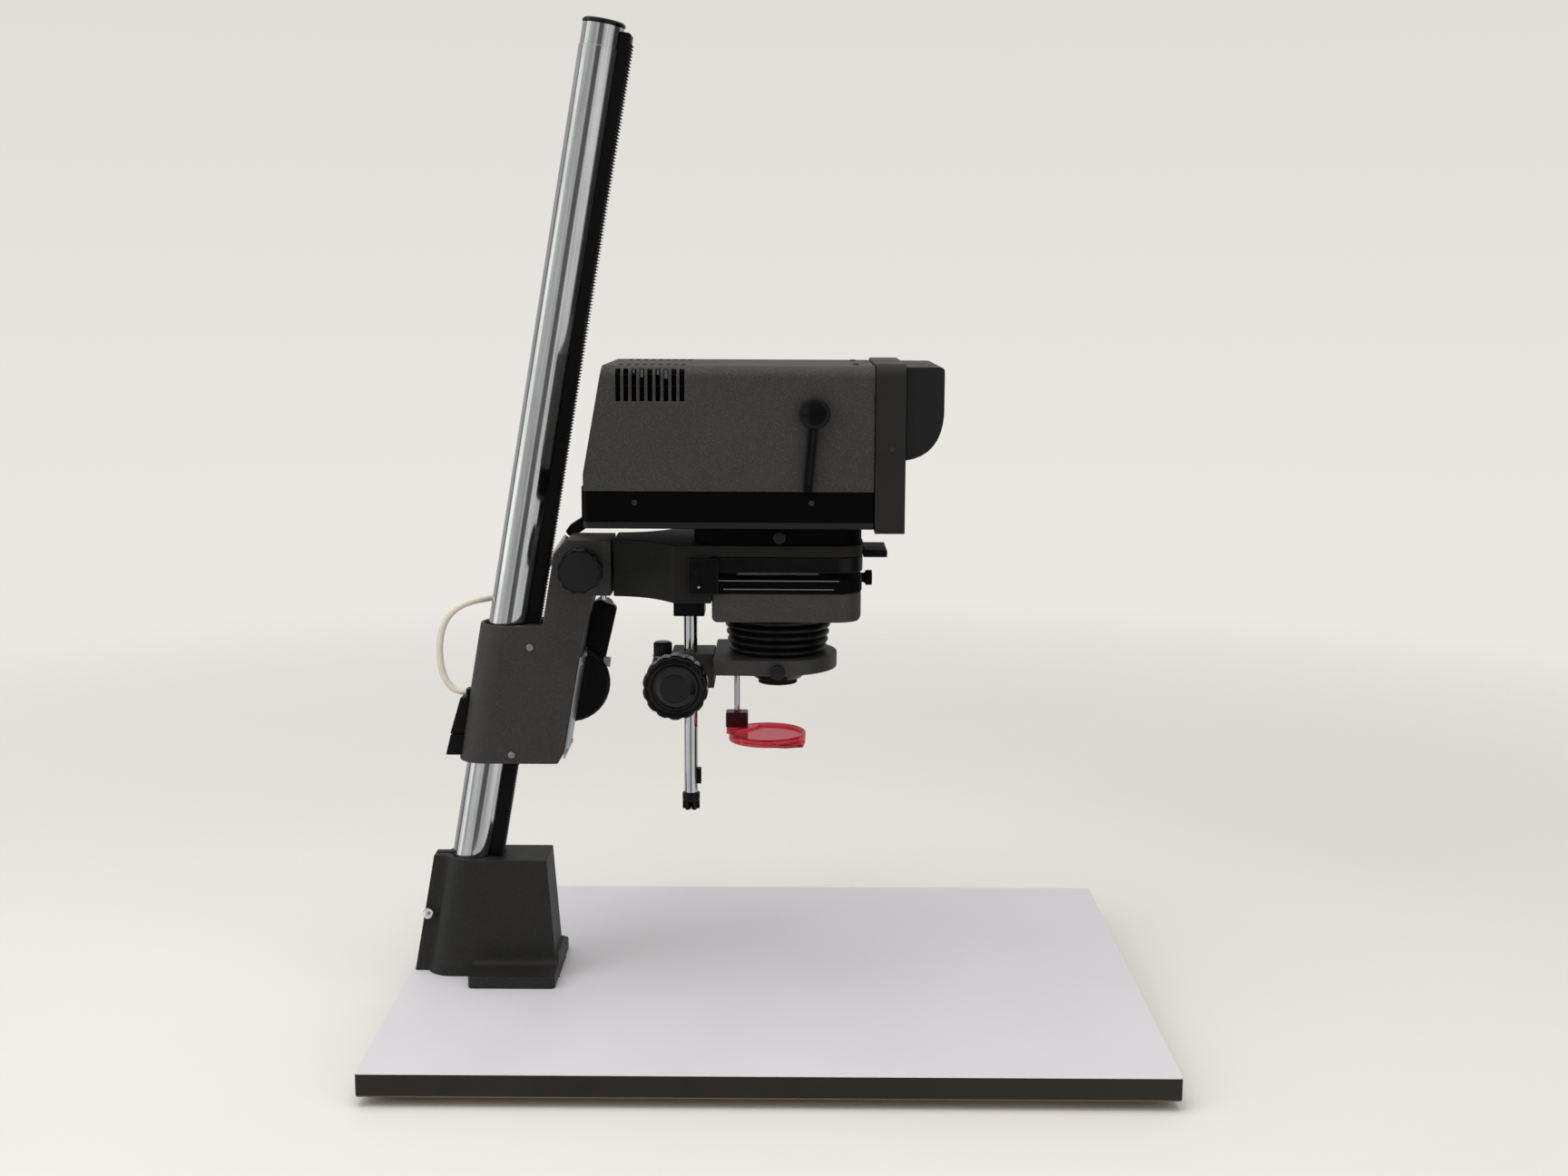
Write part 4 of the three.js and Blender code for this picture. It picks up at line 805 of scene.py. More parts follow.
def build_crank():
    refined("crank_arm", "black_plastic", 0.9 * MM, "crank", segments=3)
    axis = Vector(joint("crank_spin")["pos_m"])
    low, high, centre, radius = measured("crank_grip")
    length = high.y - low.y
    grip = turned("crank_grip_ribbed", "black_plastic", [
        (3.3 * MM, 0), (radius - 1.6 * MM, 0), (radius, length * 0.2), (radius - 0.9 * MM, length * 0.6),
        (radius, length * 0.86), (radius - 1.8 * MM, length - 0.6 * MM), (3.3 * MM, length)],
        (centre.x, low.y, centre.z), Y, 120, lobes(20, 0.35 * MM, radius - 1.4 * MM, 2), 1.2 * MM)
    finished(grip, "grip", "black_plastic", "crank_grip")

    hub_face = 40 * MM
    badge = turned("crank_hub_disc", "knob_face", [
        (0, 0), (12 * MM, 0), (12 * MM, 0.7 * MM), (10.5 * MM, 1.1 * MM), (0, 1.1 * MM)],
        (axis.x, hub_face, axis.z), Y, 96, soften=0.3 * MM)
    finished(badge, "crank", "black_plastic")
    screw("crank_hub_screw", (axis.x, hub_face + 1 * MM, axis.z), Y, 4 * MM, "crank")
    reach = (centre - Vector((axis.x, centre.y, axis.z))).normalized()
    pin = turned("crank_grip_pin_head", "steel", rod(4.2 * MM, 0, 1.1 * MM),
                 (centre.x, high.y + 0.2 * MM, centre.z), Y, 48)
    finished(pin, "crank", "steel")
    ahead = Vector((reach.z, 0, -reach.x))
    tab_centre = Vector((axis.x, 30 * MM, axis.z)) + reach * 28 * MM + ahead * 21.2 * MM
    turn = Matrix((ahead, Y, reach)).transposed().to_4x4() @ Matrix.Rotation(math.radians(-18), 4, "Y")
    corner = Vector((3, 2, 4)) * MM
    tab = slab("crank_spring_tab", "screw_steel", -corner, corner, 0.5 * MM,
               Matrix.Translation(tab_centre) @ turn)
    finished(tab, "crank", "steel")


# ---------------------------------------------------------------- head arm and negative stage
def build_head():
    # The head arm takes the darker copy of the casting paint, which is painted shade.
    refined("head_arm", "shaded_arm_paint", 0.8 * MM, "head", "textured_paint", 3)
    refined("upper_carrier_frame", "black_plastic", 0.8 * MM, "head", segments=3)
    refined("lower_stage", "lamphouse_paint", 1.2 * MM, "head", "textured_paint", 3)
    refined("rail_collar", "black_plastic", 0.8 * MM, "head", "textured_paint")
    refined("lift_lever", "matt_black", 0.8 * MM, "lever")
    build_latch()
    build_carrier()


def build_latch():
    refined("stage_latch", "black_plastic", 0.9 * MM, "head", segments=3)
    low, high = span("stage_latch")
    near = low.y
    width, height = high.x - low.x, high.z - low.z
    front, back = near - 0.9 * MM, near + 0.4 * MM
    panel = slab("latch_thumb_panel", "gloss_plastic", (low.x + width * 0.52, front, low.z + height * 0.40),
                 (high.x - 0.8 * MM, back, high.z - 2.6 * MM), 0.4 * MM)
    finished(panel, "head", "black_plastic")
    for name, start, end, level in (("top", 0.03, 0.47, 0.80), ("bottom", 0.04, 0.97, 0.055)):
        z = low.z + height * level
        lip = slab(f"latch_lip_{name}", "gloss_plastic", (low.x + width * start, front, z - 0.4 * MM),
                   (low.x + width * end, back, z + 0.4 * MM), 0.2 * MM)
        finished(lip, "head", "black_plastic")
    pin = turned("latch_pin", "screw_steel", [
        (0, -1 * MM), (0.9 * MM, -0.7 * MM), (1.2 * MM, 0), (1.2 * MM, 0.6 * MM), (0, 0.6 * MM)],
        (low.x + width * 0.36, near, low.z + height * 0.21), Y, 32, soften=0.1 * MM)
    finished(pin, "head", "steel")
    dimple = turned("latch_dimple", "matt_black", [
        (0, -0.35 * MM), (1.6 * MM, -0.2 * MM), (1.6 * MM, 0.5 * MM), (0, 0.5 * MM)],
        (low.x + width * 0.25, near, low.z + height * 0.62), Y, 32, soften=0.1 * MM)
    finished(dimple, "head", "black_plastic")


def build_carrier():
    refined("negative_carrier", "tray_black", 0.7 * MM, "carrier", "black_plastic", 3)
    frame_low = span("upper_carrier_frame")[0]
    plate_low, plate_high = span("negative_carrier")
    runner = slab("carrier_runner", "steel", (-38 * MM, plate_low.y - 0.5 * MM, plate_low.z + 4.6 * MM),
                  (48 * MM, plate_low.y + 0.6 * MM, plate_low.z + 5.3 * MM), 0.15 * MM)
    finished(runner, "carrier", "steel")
    edge = slab("carrier_bright_edge", "steel",
                (frame_low.x + 1.5 * MM, plate_low.y - 0.2 * MM, plate_high.z - 1.5 * MM),
                (frame_low.x + 98 * MM, plate_low.y + 0.5 * MM, plate_high.z - 0.7 * MM), 0.2 * MM)
    finished(edge, "carrier", "steel")
    centre = middle("diffuser")
    half, bottom, top = 32.6 * MM, 0.3601, 0.3620
    glass = slab("carrier_glass", "clear_glass", (centre.x - half, -half, bottom),
                 (centre.x + half, half, top), 0.2 * MM)
    finished(glass, "carrier", "clear_glass")


def build_rail():
    low, high = span("focus_rail")
    rail_low, rail_high = span("rail_end_cap")
    centre = (rail_low + rail_high) / 2
    radius = (high.y - low.y) / 2
    rail = turned("focus_rail_plated", "rail_chrome", rod(radius, low.z, high.z),
                  (centre.x, centre.y, 0), Z, 96)
    finished(rail, "head", "chrome", "focus_rail")
    stop = slab("rail_stop_block", "black_plastic", (centre.x + radius - 0.8 * MM, -3 * MM, low.z + 7.5 * MM),
                (high.x, 3 * MM, low.z + 20.5 * MM), 0.5 * MM)
    finished(stop, "head", "black_plastic", "focus_rail")
    cap_radius = (rail_high.x - rail_low.x) / 2
    height = rail_high.z - rail_low.z
    cap = turned("rail_end_cap_moulded", "black_plastic", [
        (0, height * 0.5), (cap_radius * 0.9, height * 0.5), (cap_radius, height * 0.62),
        (cap_radius, height), (0, height)], (centre.x, centre.y, rail_low.z), Z, 96, soften=0.5 * MM)
    finished(cap, "head", "black_plastic", "rail_end_cap")
    foot = Matrix.Translation((centre.x, centre.y, rail_low.z))
    for i in range(6):
        turn = foot @ Matrix.Rotation(math.radians(60 * i), 4, "Z")
        fin = slab(f"rail_end_fin_{i + 1}", "black_plastic", (cap_radius * 0.35, -1.5 * MM, 0),
                   (cap_radius * 0.97, 1.5 * MM, height * 0.56), 0.4 * MM, turn)
        finished(fin, "head", "black_plastic", "rail_end_cap")


def build_bellows():
    """Rounded moulded pleats with tight creases, and an inside that follows them."""
    low, high = span("bellows")
    centre = middle("bellows")
    top, bottom = (high.x - low.x) / 2, (high.x - low.x) / 2 - 4.4 * MM
    pleats, fold, wall, steps = 5, 4.6 * MM, 1.1 * MM, 12
    outer = []
    for i in range(pleats * steps + 1):
        t = i / (pleats * steps)
        bulge = abs(math.sin(math.pi * pleats * t)) ** 0.55
        outer.append((bottom + (top - bottom) * t - fold * (1 - bulge), low.z + (high.z - low.z) * t))
    inner = [(r - wall * 2, z) for r, z in reversed(outer[::3])]
    bm = turned_mesh([*outer, *inner], (centre.x, centre.y, 0), Z, 144)
    bellows = piece_from("bellows_pleated", bm, "bellows_cloth", 70)
    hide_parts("bellows")
    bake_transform(bellows)


# ---------------------------------------------------------------- lens stage
def build_lens_stage():
    refined("focus_block", "textured_paint", 0.9 * MM, "lens_stage", "black_plastic", 3)
    refined("lens_plate", "textured_paint", 0.8 * MM, "lens_stage", segments=3)
    build_lens()
    build_focus_knob()
    build_set_screw()
    build_focus_lock()


def build_set_screw():
    low, high, centre, radius = measured("lens_set_screw")
    length = high.y - low.y
    knob = turned("lens_set_screw_knurled", "knob_face", [
        (0, 0), (radius * 0.82, 0), (radius, 1 * MM), (radius, 7 * MM), (radius * 0.82, 8.4 * MM),
        (2.5 * MM, 8.4 * MM), (2.5 * MM, length), (0, length)],
        (centre.x, low.y, centre.z), Y, 180, lobes(30, 0.3 * MM, radius * 0.9), 0.3 * MM)
    finished(knob, "set_screw", "black_plastic", "lens_set_screw")


def build_focus_lock():
    low, high, centre, radius = measured("focus_lock_knob")
    neck = high.z - 11 * MM
    knob = turned("focus_lock_knob_ribbed", "gloss_plastic", [
        (0, low.z), (3 * MM, low.z), (3 * MM, neck), (radius, neck), (radius, high.z - 1.4 * MM),
        (radius - 1.6 * MM, high.z), (0, high.z)],
        (centre.x, centre.y, 0), Z, 180, lobes(24, 0.4 * MM, radius - 1 * MM), 0.4 * MM)
    finished(knob, "focus_lock", "black_plastic", "focus_lock_knob")
    ring = pipe(3.2 * MM, radius + 0.7 * MM, neck - 1.5 * MM, neck - 0.2 * MM)
    washer = turned("focus_lock_washer", "steel", ring, (centre.x, centre.y, 0), Z, 96)
    finished(washer, "focus_lock", "steel")


def build_lens():
    low, high, centre, radius = measured("lens_barrel")
    base = low.z
    barrel = turned("lens_barrel_turned", "matt_black", [
        (9.5 * MM, base), (12 * MM, base), (12 * MM, base + 7.2 * MM), (20.8 * MM, base + 7.2 * MM),
        (radius, base + 10.4 * MM), (radius, base + 13.3 * MM), (19.6 * MM, base + 13.3 * MM),
        (19.6 * MM, high.z), (9.5 * MM, high.z)], (centre.x, centre.y, 0), Z, 128)
    finished(barrel, "lens_stage", "matt_black", "lens_barrel")
    skirt = turned("lens_barrel_skirt", "gloss_plastic", [
        (16.8 * MM, base + 4 * MM), (19.4 * MM, base + 4 * MM), (radius - 0.1 * MM, base + 9.4 * MM),
        (radius - 0.1 * MM, base + 10.2 * MM), (16.8 * MM, base + 10.2 * MM)],
        (centre.x, centre.y, 0), Z, 128)
    finished(skirt, "lens_stage", "matt_black")
    glass_low, glass_high = span("lens_glass")
    glass_radius = (glass_high.x - glass_low.x) / 2
    mid = (glass_low.z + glass_high.z) / 2
    half = (glass_high.z - glass_low.z) / 2
    turns = [math.pi * k / 24 for k in range(25)]
    profile = [(glass_radius * math.sin(a), mid - half * math.cos(a)) for a in turns]
    profile[0], profile[-1] = (0, glass_low.z), (0, glass_high.z)
    lens = turned("lens_element", "clear_glass", profile, (centre.x, centre.y, 0), Z, 96, soften=0)
    finished(lens, "lens_stage", "clear_glass", "lens_glass")
    build_aperture_ring(centre)


def build_aperture_ring(centre):
    """The knurled ring round the lens, with seven short white ticks on the near side."""
    low, high = span("aperture_ring")
    radius = (high.x - low.x) / 2
    ring = turned("aperture_ring_knurled", "matt_black", pipe(12.3 * MM, radius, low.z, high.z),
                  (centre.x, centre.y, 0), Z, 216, lobes(36, 0.5 * MM, radius - 1 * MM), 0.5 * MM)
    finished(ring, "aperture", "matt_black", "aperture_ring")
    out = radius - 0.35 * MM
    for i in range(7):
        angle = math.radians(-90 - 36 + 12 * i)
        mark = Vector((centre.x + out * math.cos(angle), out * math.sin(angle), 0))
        turn = Matrix.Translation(mark) @ Matrix.Rotation(angle, 4, "Z")
        tick = slab(f"aperture_mark_{i + 1}", "white_plastic", (0, -0.25 * MM, high.z - 3 * MM),
                    (0.5 * MM, 0.25 * MM, high.z - 1 * MM), 0.05 * MM, turn)
        finished(tick, "aperture", "white_plastic")


def build_focus_knob():
    low, high = span("focus_knob")
    centre = Vector(joint("focus_knob_turn")["pos_m"])
    radius = (high.x - low.x) / 2
    place = (centre.x, low.y, centre.z)
    knob = turned("focus_knob_moulded", "gloss_plastic", [
        (0, 0), (11.4 * MM, 0), (16.6 * MM, 4.4 * MM), (18 * MM, 4.9 * MM), (19.4 * MM, 3.2 * MM),
        (radius - 1.8 * MM, 2.6 * MM), (radius - 0.4 * MM, 4 * MM), (radius, 6 * MM), (radius, 19 * MM),
        (radius - 1.4 * MM, 21.4 * MM), (13 * MM, 22.4 * MM), (11.5 * MM, 24 * MM), (11 * MM, 41 * MM),
        (0, 41 * MM)],
        place, Y, 252, lobes(14, 1.1 * MM, radius - 2.2 * MM, 3), 0.8 * MM)
    finished(knob, "focus_knob", "black_plastic", "focus_knob")
    face = turned("focus_knob_face", "knob_face", [
        (0, -0.1 * MM), (10.6 * MM, -0.1 * MM), (10.9 * MM, 0.5 * MM), (0, 0.5 * MM)],
        place, Y, 96, soften=0.15 * MM)
    finished(face, "focus_knob", "black_plastic", "focus_knob")
    length = high.y - low.y
    shaft = turned("focus_shaft", "steel", rod(3.4 * MM, 30 * MM, length - 6 * MM), place, Y, 48)
    finished(shaft, "focus_knob", "steel", "focus_knob")
    stop = turned("focus_shaft_collar", "black_plastic", [
        (0, length - 6.4 * MM), (7 * MM, length - 6.4 * MM), (7 * MM, length - 2 * MM), (5 * MM, length),
        (0, length)], place, Y, 64)
    finished(stop, "focus_knob", "black_plastic", "focus_knob")


def build_red_filter():
    low, high, centre, radius = measured("filter_rod")
    stem = turned("filter_rod_plated", "rail_chrome", rod(radius, low.z, high.z),
                  (centre.x, centre.y, 0), Z, 64)
    finished(stem, "lens_stage", "chrome", "filter_rod")
    refined("filter_bracket", "dark_red", 1.2 * MM, "red_filter", segments=3)
    refined("red_filter", "red_acrylic", 0.35 * MM, "red_filter")


# ---------------------------------------------------------------- lamphouse
def build_lamphouse():
    refined("seat_ring", "tray_black", 0.8 * MM, "lamphouse", "matt_black", 3)
    refined("lamphouse_base", "tray_black", 0.7 * MM, "lamphouse", "matt_black")
    refined("lamphouse_cover", "lamphouse_paint", 0.6 * MM, "lamphouse", "textured_paint")
    refined("front_bezel", "bezel_plastic", 0.9 * MM, "lamphouse", "matt_black", 3)
    refined("dial_hood", "hood_plastic", 0.5 * MM, "lamphouse", "matt_black")
    refined("lead_connector", "black_plastic", 0.9 * MM, "lamphouse")
    build_tray_lip()
    build_lamphouse_screws()
    build_seat_knob()
    build_connector_wedge()


def build_tray_lip():
    """The paler folded lip round the tray's lower edge."""
    low, high = span("lamphouse_base")
    proud = Vector((0.35, 0.35, 0)) * MM
    outer = rounded_plan(low - proud, high + proud, 2.3 * MM, 5.3 * MM, 6)
    inner = rounded_plan(low + proud, high - proud, 1.7 * MM, 4.7 * MM, 6)
    bm = bmesh.new()
    levels = [(outer, low.z + 0.6 * MM), (outer, low.z + 5 * MM), (inner, low.z + 5.4 * MM),
              (inner, low.z + 0.2 * MM)]
    rings = [[bm.verts.new((a, b, z)) for a, b in plan] for plan, z in levels]
    for one, other in zip(rings, rings[1:] + rings[:1]):
        bridge(bm, one, other)
    finished(piece_from("tray_lip", bm, "hood_plastic"), "lamphouse", "matt_black")


def build_lamphouse_screws():
    low, high = span("lamphouse_base")
    cover_high = span("lamphouse_cover")[1]
    bezel_low, bezel_high = span("front_bezel")
    bezel_x = (bezel_low.x + bezel_high.x) / 2 + 1 * MM
    looks = {"body": "lamphouse", "slot": "matt_black", "material": "dark_screw"}
    for side, out, y in (("near", -Y, low.y), ("far", Y, high.y)):
        for name, x, angle in (("rear", low.x + 39.5 * MM, 20), ("front", high.x - 48 * MM, 70)):
            place = (x, y, low.z + 20.3 * MM)
            screw(f"tray_screw_{side}_{name}", place, out, 2.1 * MM, slot_angle=angle, **looks)
    for side, out, y in (("near", -Y, bezel_low.y), ("far", Y, bezel_high.y)):
        place = (bezel_x, y, bezel_low.z + 65 * MM)
        screw(f"bezel_screw_{side}", place, out, 1.9 * MM, slot_angle=10, **looks)
    for i, y in enumerate((-40 * MM, 40 * MM)):
        place = (cover_high.x - 14 * MM, y, cover_high.z)
        screw(f"cover_screw_{i + 1}", place, Z, 2.3 * MM, slot_angle=30 + 50 * i, **looks)


def build_seat_knob():
    low, high, centre, radius = measured("seat_lock_knob")
    length = high.y - low.y
    knob = turned("seat_lock_knob_knurled", "knob_face", [
        (0, 0), (radius * 0.84, 0), (radius, 0.9 * MM), (radius, 7.4 * MM), (radius * 0.8, 8.6 * MM),
        (2 * MM, 8.6 * MM), (2 * MM, length), (0, length)],
        (centre.x, low.y, centre.z), Y, 180, lobes(20, 0.35 * MM, radius * 0.9), 0.4 * MM)
    finished(knob, "seat_lock", "black_plastic", "seat_lock_knob")


def build_connector_wedge():
    """Grey wedge that holds the angled connector's cover down."""
    low, high = span("lead_connector")
    top = high.z - 2 * MM
    tip = high.x - 9.4 * MM
    back = high.x - 0.4 * MM
    outline = [(tip, top - 3.2 * MM), (back, top - 3.2 * MM), (back, top + 3.4 * MM)]
    wedge = prism("connector_wedge", "knob_face", outline, low.y + 2 * MM, high.y - 2 * MM, "Y", 0.4 * MM)
    finished(wedge, "lamphouse", "black_plastic")


def build_dials():
    low, high, centre, radius = measured("dial_axle")
    axle = turned("dial_axle_turned", "steel", rod(radius, low.y, high.y), (centre.x, 0, centre.z), Y, 48)
    finished(axle, "lamphouse", "steel", "dial_axle")
    for colour in ("yellow", "magenta", "cyan"):
        build_dial(f"dial_{colour}", f"{colour}_dial", centre)


def build_dial(node, body, axle):
    """A knurled wheel with a recessed web on the shared axle."""
    low, high, centre, radius = measured(node)
    half = (high.y - low.y) / 2
    face = [(2.7 * MM, half), (8 * MM, half), (9 * MM, half - 1 * MM), (radius - 5 * MM, half - 1 * MM),
            (radius - 4 * MM, half), (radius - 0.8 * MM, half), (radius, half - 0.8 * MM)]
    profile = [*((r, -h) for r, h in face), *reversed(face)]
    place = Vector((axle.x, centre.y, axle.z))
    wheel = turned(node + "_wheel", node, profile, place, Y, 240,
                   lobes(40, 0.5 * MM, radius - 0.5 * MM), 0.2 * MM)
    finished(wheel, body, node, node)
    build_dial_marks(node, body, place, radius)


def build_dial_marks(node, body, centre, radius):
    """A ring of raised scale strokes on the dial's rim, every third one long."""
    count = 18
    for i in range(count):
        turn = Matrix.Translation(centre) @ Matrix.Rotation(2 * math.pi * i / count, 4, "Y")
        half = (2.6 if i % 3 == 0 else 1.4) * MM
        stroke = slab(f"{node}_mark_{i + 1}", "white_plastic", (-0.3 * MM, -half, radius - 1 * MM),
                      (0.3 * MM, half, radius + 0.1 * MM), 0.1 * MM, turn)
        finished(stroke, body, node)


def build_filter_lever():
    low, high = span("filter_lever")
    pivot = Vector(joint("filter_lever_turn")["pos_m"])
    near = low.y
    swing = Matrix.Translation(pivot) @ Matrix.Rotation(math.radians(4.8), 4, "Y")
    radius = 11.7 * MM
    place = (pivot.x, near, pivot.z)
    hub = turned("lever_hub", "gloss_plastic", [
        (0, 1.6 * MM), (radius - 2.6 * MM, 1.2 * MM), (radius - 2 * MM, 0.2 * MM), (radius - 0.9 * MM, 0),
        (radius, 1.2 * MM), (radius, 8.6 * MM), (0, 8.6 * MM)], place, Y, 128, soften=0.4 * MM)
    finished(hub, "filter_lever", "black_plastic", "filter_lever")
    axis_pin = turned("lever_axis", "steel", rod(4 * MM, 8 * MM, high.y - near), place, Y, 48)
    finished(axis_pin, "filter_lever", "steel", "filter_lever")
    offset = near - pivot.y
    across = swing @ Matrix.Rotation(math.radians(-14), 4, "Y")
    ridge = slab("lever_hub_ridge", "gloss_plastic", (-8.6 * MM, offset + 0.3 * MM, -0.55 * MM),
                 (8.6 * MM, offset + 2.5 * MM, 0.55 * MM), 0.3 * MM, across)
    finished(ridge, "filter_lever", "black_plastic", "filter_lever")
    reach = 60 * MM
    outline = [(-4.4 * MM, -6 * MM), (-4.0 * MM, -reach), (4.0 * MM, -reach), (4.4 * MM, -6 * MM)]
    arm = prism("lever_arm", "gloss_plastic", outline, offset + 2.6 * MM, offset + 7.4 * MM, "Y",
                1.1 * MM, swing)
    finished(arm, "filter_lever", "black_plastic", "filter_lever")
    rib = slab("lever_arm_rib", "gloss_plastic", (-0.9 * MM, offset + 1.9 * MM, -reach + 5 * MM),
               (0.9 * MM, offset + 3.4 * MM, -12 * MM), 0.5 * MM, swing)
    finished(rib, "filter_lever", "black_plastic", "filter_lever")


def build_lamp_parts():
    refined("mixing_box", "white_plastic", 0.3 * MM, "lamphouse")
    refined("diffuser", "opal", 0.3 * MM, "lamphouse")
    refined("lamp_socket", "white_plastic", 0.5 * MM, "lamphouse")
    low, high = span("lamp")
    centre = middle("lamp")
    depth, rim = high.x - low.x, (high.z - low.z) / 2
    shares = [i / 12 for i in range(13)]
    outside = [(rim * (0.32 + 0.68 * math.sqrt(t)), depth * (0.22 + 0.78 * t)) for t in shares]
    inside = [(r - 1.3 * MM, h + 0.4 * MM) for r, h in reversed(outside[2:])]
    bowl = turned("lamp_reflector", "reflector", [
        (0, 0), (9 * MM, 0), (9 * MM, depth * 0.2), *outside, *inside, (4.6 * MM, depth * 0.4),
        (0, depth * 0.4)], (low.x, centre.y, centre.z), X, 96, soften=0.15 * MM)
    finished(bowl, "lamphouse", "reflector", "lamp")
    capsule = turned("lamp_capsule", "clear_glass", [
        (0, depth * 0.38), (4 * MM, depth * 0.38), (4.4 * MM, depth * 0.72), (2.4 * MM, depth * 0.86),
        (0, depth * 0.9)], (low.x, centre.y, centre.z), X, 48, soften=0.8 * MM)
    finished(capsule, "lamphouse", "reflector", "lamp")


# Bright tabs under the vents, in mm: distance from the cover's rear, half width, depth of the lower end.
VENT_TABS = ((39.2, 0.8, 6), (45.2, 1.1, 9), (57.6, 0.9, 7), (63.6, 1.3, 10))


def build_vent_baffle():
    """Dark shelf and folded plates under the vents; a few bright cut edges show through the slots."""
    low, high = span("lamphouse_cover")
    shelf = slab("vent_shelf", "tray_black", (low.x + 24 * MM, -62 * MM, high.z - 8.5 * MM),
                 (low.x + 86 * MM, 62 * MM, high.z - 7.5 * MM), 0.2 * MM)
    finished(shelf, "lamphouse", "matt_black")
    for side, name in ((-1, "near"), (1, "far")):
        y = sorted((side * 62 * MM, side * 63 * MM))
        plate = slab(f"vent_plate_{name}", "tray_black", (low.x + 24 * MM, y[0], high.z - 60 * MM),
                     (low.x + 86 * MM, y[1], high.z - 8.6 * MM), 0.2 * MM)
        finished(plate, "lamphouse", "matt_black")
        y = sorted((side * 63.2 * MM, side * 66.5 * MM))
        ledge = slab(f"vent_ledge_{name}", "matt_black", (low.x + 25 * MM, y[0], high.z - 16.5 * MM),
                     (low.x + 83 * MM, y[1], high.z - 15 * MM), 0.2 * MM)
        finished(ledge, "lamphouse", "matt_black")
        for i, (ahead, half, drop) in enumerate(VENT_TABS):
            tab = slab(f"vent_tab_{name}_{i + 1}", "steel",
                       (low.x + (ahead - half) * MM, y[0], high.z - drop * MM),
                       (low.x + (ahead + half) * MM, y[1], high.z - 3.4 * MM), 0.2 * MM)
            finished(tab, "lamphouse", "steel")


# ---------------------------------------------------------------- stage and light
def build_floor():
    """A pale floor that fades into the surroundings away from the object."""
    bm = bmesh.new()
    bmesh.ops.create_circle(bm, cap_ends=True, segments=96, radius=3.2)
    mesh = bpy.data.meshes.new("floor")
    bm.to_mesh(mesh)
    bm.free()
    floor = linked("floor", mesh)
    n = Nodes("floor", (0.67, 0.66, 0.63), 0.55, specular_ior_level=0.25)
    cloud = n.noise(2.2, 4.0, 0.6)
    n.feed("Base Color", n.blend(cloud, (0.655, 0.645, 0.617), (0.69, 0.68, 0.654)))
    n.relief(n.noise(260, 3.0), 0.05 * MM)
    distance = n.add("VectorMath", {0: n.coords}, operation="LENGTH").outputs["Value"]
    n.feed("Alpha", n.spread(distance, 0.75, 2.1, 1.0, 0.0))
    mesh.materials.append(n.material)
    floor.visible_glossy = False


def build_world():
    """Pale surroundings, a little brighter towards the floor."""
    world = bpy.data.worlds.new("studio")
    bpy.context.scene.world = world
    world.use_nodes = True
    tree = world.node_tree
    split = tree.nodes.new("ShaderNodeSeparateXYZ")
    tree.links.new(tree.nodes.new("ShaderNodeTexCoord").outputs["Generated"], split.inputs[0])
    height = tree.nodes.new("ShaderNodeMapRange")
    height.inputs["From Min"].default_value = -0.12
    height.inputs["From Max"].default_value = 0.25
    tree.links.new(split.outputs["Z"], height.inputs["Value"])
    ramp = tree.nodes.new("ShaderNodeValToRGB")
    ramp.color_ramp.elements[0].color = (0.83, 0.806, 0.768, 1)
    ramp.color_ramp.elements[1].color = (0.715, 0.691, 0.658, 1)
    tree.links.new(height.outputs["Result"], ramp.inputs["Fac"])
    background = tree.nodes["Background"]
    tree.links.new(ramp.outputs["Color"], background.inputs["Color"])
    background.inputs["Strength"].default_value = 1.0


# What the polished pieces mirror, by compass angle round the object: 0 is the camera's side (-Y) and
# positive angles turn towards the lens side (+X). Each entry is an angle in degrees and a brightness.
ROOM_BANDS = [
    (-180, 0.42), (-110, 0.42), (-106, 0.14), (-100, 0.14), (-97, 1.1), (-76, 1.1), (-70, 0.54), (-17, 0.54),
    (-15, 0.12), (9, 0.12), (12, 0.66), (64, 0.66), (74, 0.03), (104, 0.03), (120, 0.45), (180, 0.42),
]


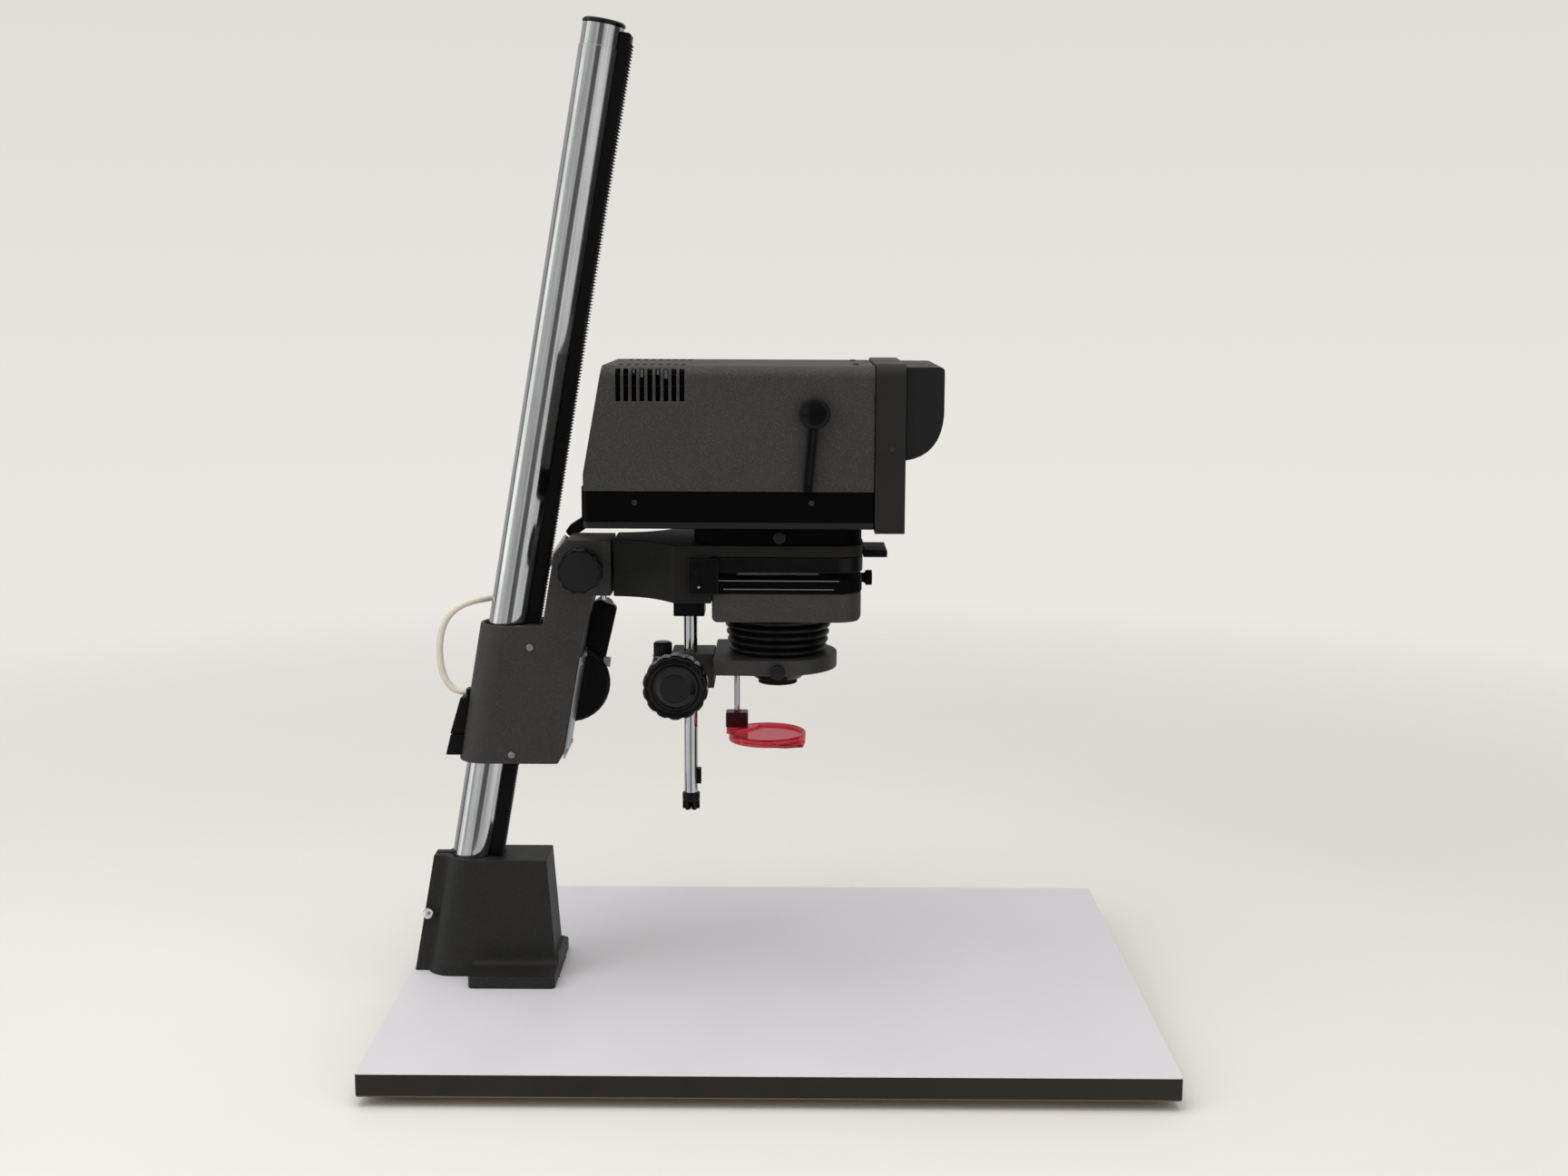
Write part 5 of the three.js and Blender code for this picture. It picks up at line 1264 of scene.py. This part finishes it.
def build_mirrored_room():
    """A wide ring of darker and brighter upright bands, seen only in reflections and as soft side light."""
    radius, low, high, sides = 3.5, -3.0, 3.5, 96
    bm = bmesh.new()
    angles = [2 * math.pi * i / sides for i in range(sides)]
    rings = [[bm.verts.new((radius * math.cos(a), radius * math.sin(a), z)) for a in angles]
             for z in (low, high)]
    bridge(bm, *rings)
    mesh = bpy.data.meshes.new("mirrored_room")
    bm.to_mesh(mesh)
    bm.free()
    room = linked("mirrored_room", mesh)
    room.visible_camera = False
    room.visible_transmission = False
    room.visible_shadow = False

    n = Nodes("mirrored_room", (0, 0, 0), 1.0, specular_ior_level=0.0)
    split = n.add("SeparateXYZ", {"Vector": n.coords}).outputs
    behind = n.sum(split["Y"], -1.0, "MULTIPLY")
    compass = n.sum(split["X"], behind, "ARCTAN2")
    ramp = n.add("ValToRGB", {"Fac": n.spread(compass, -math.pi, math.pi)})
    stops = ramp.color_ramp.elements
    for stop, (angle, level) in zip(stops, (ROOM_BANDS[0], ROOM_BANDS[-1])):
        stop.position = (angle + 180) / 360
        stop.color = (level, level, level, 1)
    for angle, level in ROOM_BANDS[1:-1]:
        stops.new((angle + 180) / 360).color = (level, level, level, 1)
    n.feed("Emission Color", ramp.outputs["Color"])
    n.shader.inputs["Emission Strength"].default_value = 1.0
    mesh.materials.append(n.material)


def build_light(name, place, target, size, energy, colour):
    """A soft area light that isn't mirrored in the polished pieces."""
    data = bpy.data.lights.new(name, "AREA")
    data.shape = "RECTANGLE"
    data.size, data.size_y = size
    data.energy = energy
    data.color = colour
    light = linked(name, data)
    light.location = place
    light.rotation_euler = (Vector(target) - Vector(place)).to_track_quat("-Z", "Y").to_euler()
    light.visible_glossy = False


def build_lights():
    build_light("overhead", (-0.2, -0.3, 2.3), (0, 0, 0.3), (2.2, 1.8), 40, (1, 0.985, 0.96))
    build_light("window", (-1.9, -1.3, 1.5), (-0.1, 0, 0.4), (1.2, 1.6), 14, (0.98, 0.99, 1))
    build_light("fill", (1.9, -1.5, 1.0), (0, 0, 0.4), (1.4, 1.2), 8, (1, 0.98, 0.95))


build_camera()
MATERIALS = build_materials()
build_lead()
build_board()
build_column_foot()
build_column()
build_carriage()
build_drive()
build_head()
build_rail()
build_bellows()
build_lens_stage()
build_red_filter()
build_lamphouse()
build_dials()
build_filter_lever()
build_lamp_parts()
build_vent_baffle()
build_floor()
build_world()
build_mirrored_room()
build_lights()
bpy.context.scene.view_settings.view_transform = "Standard"
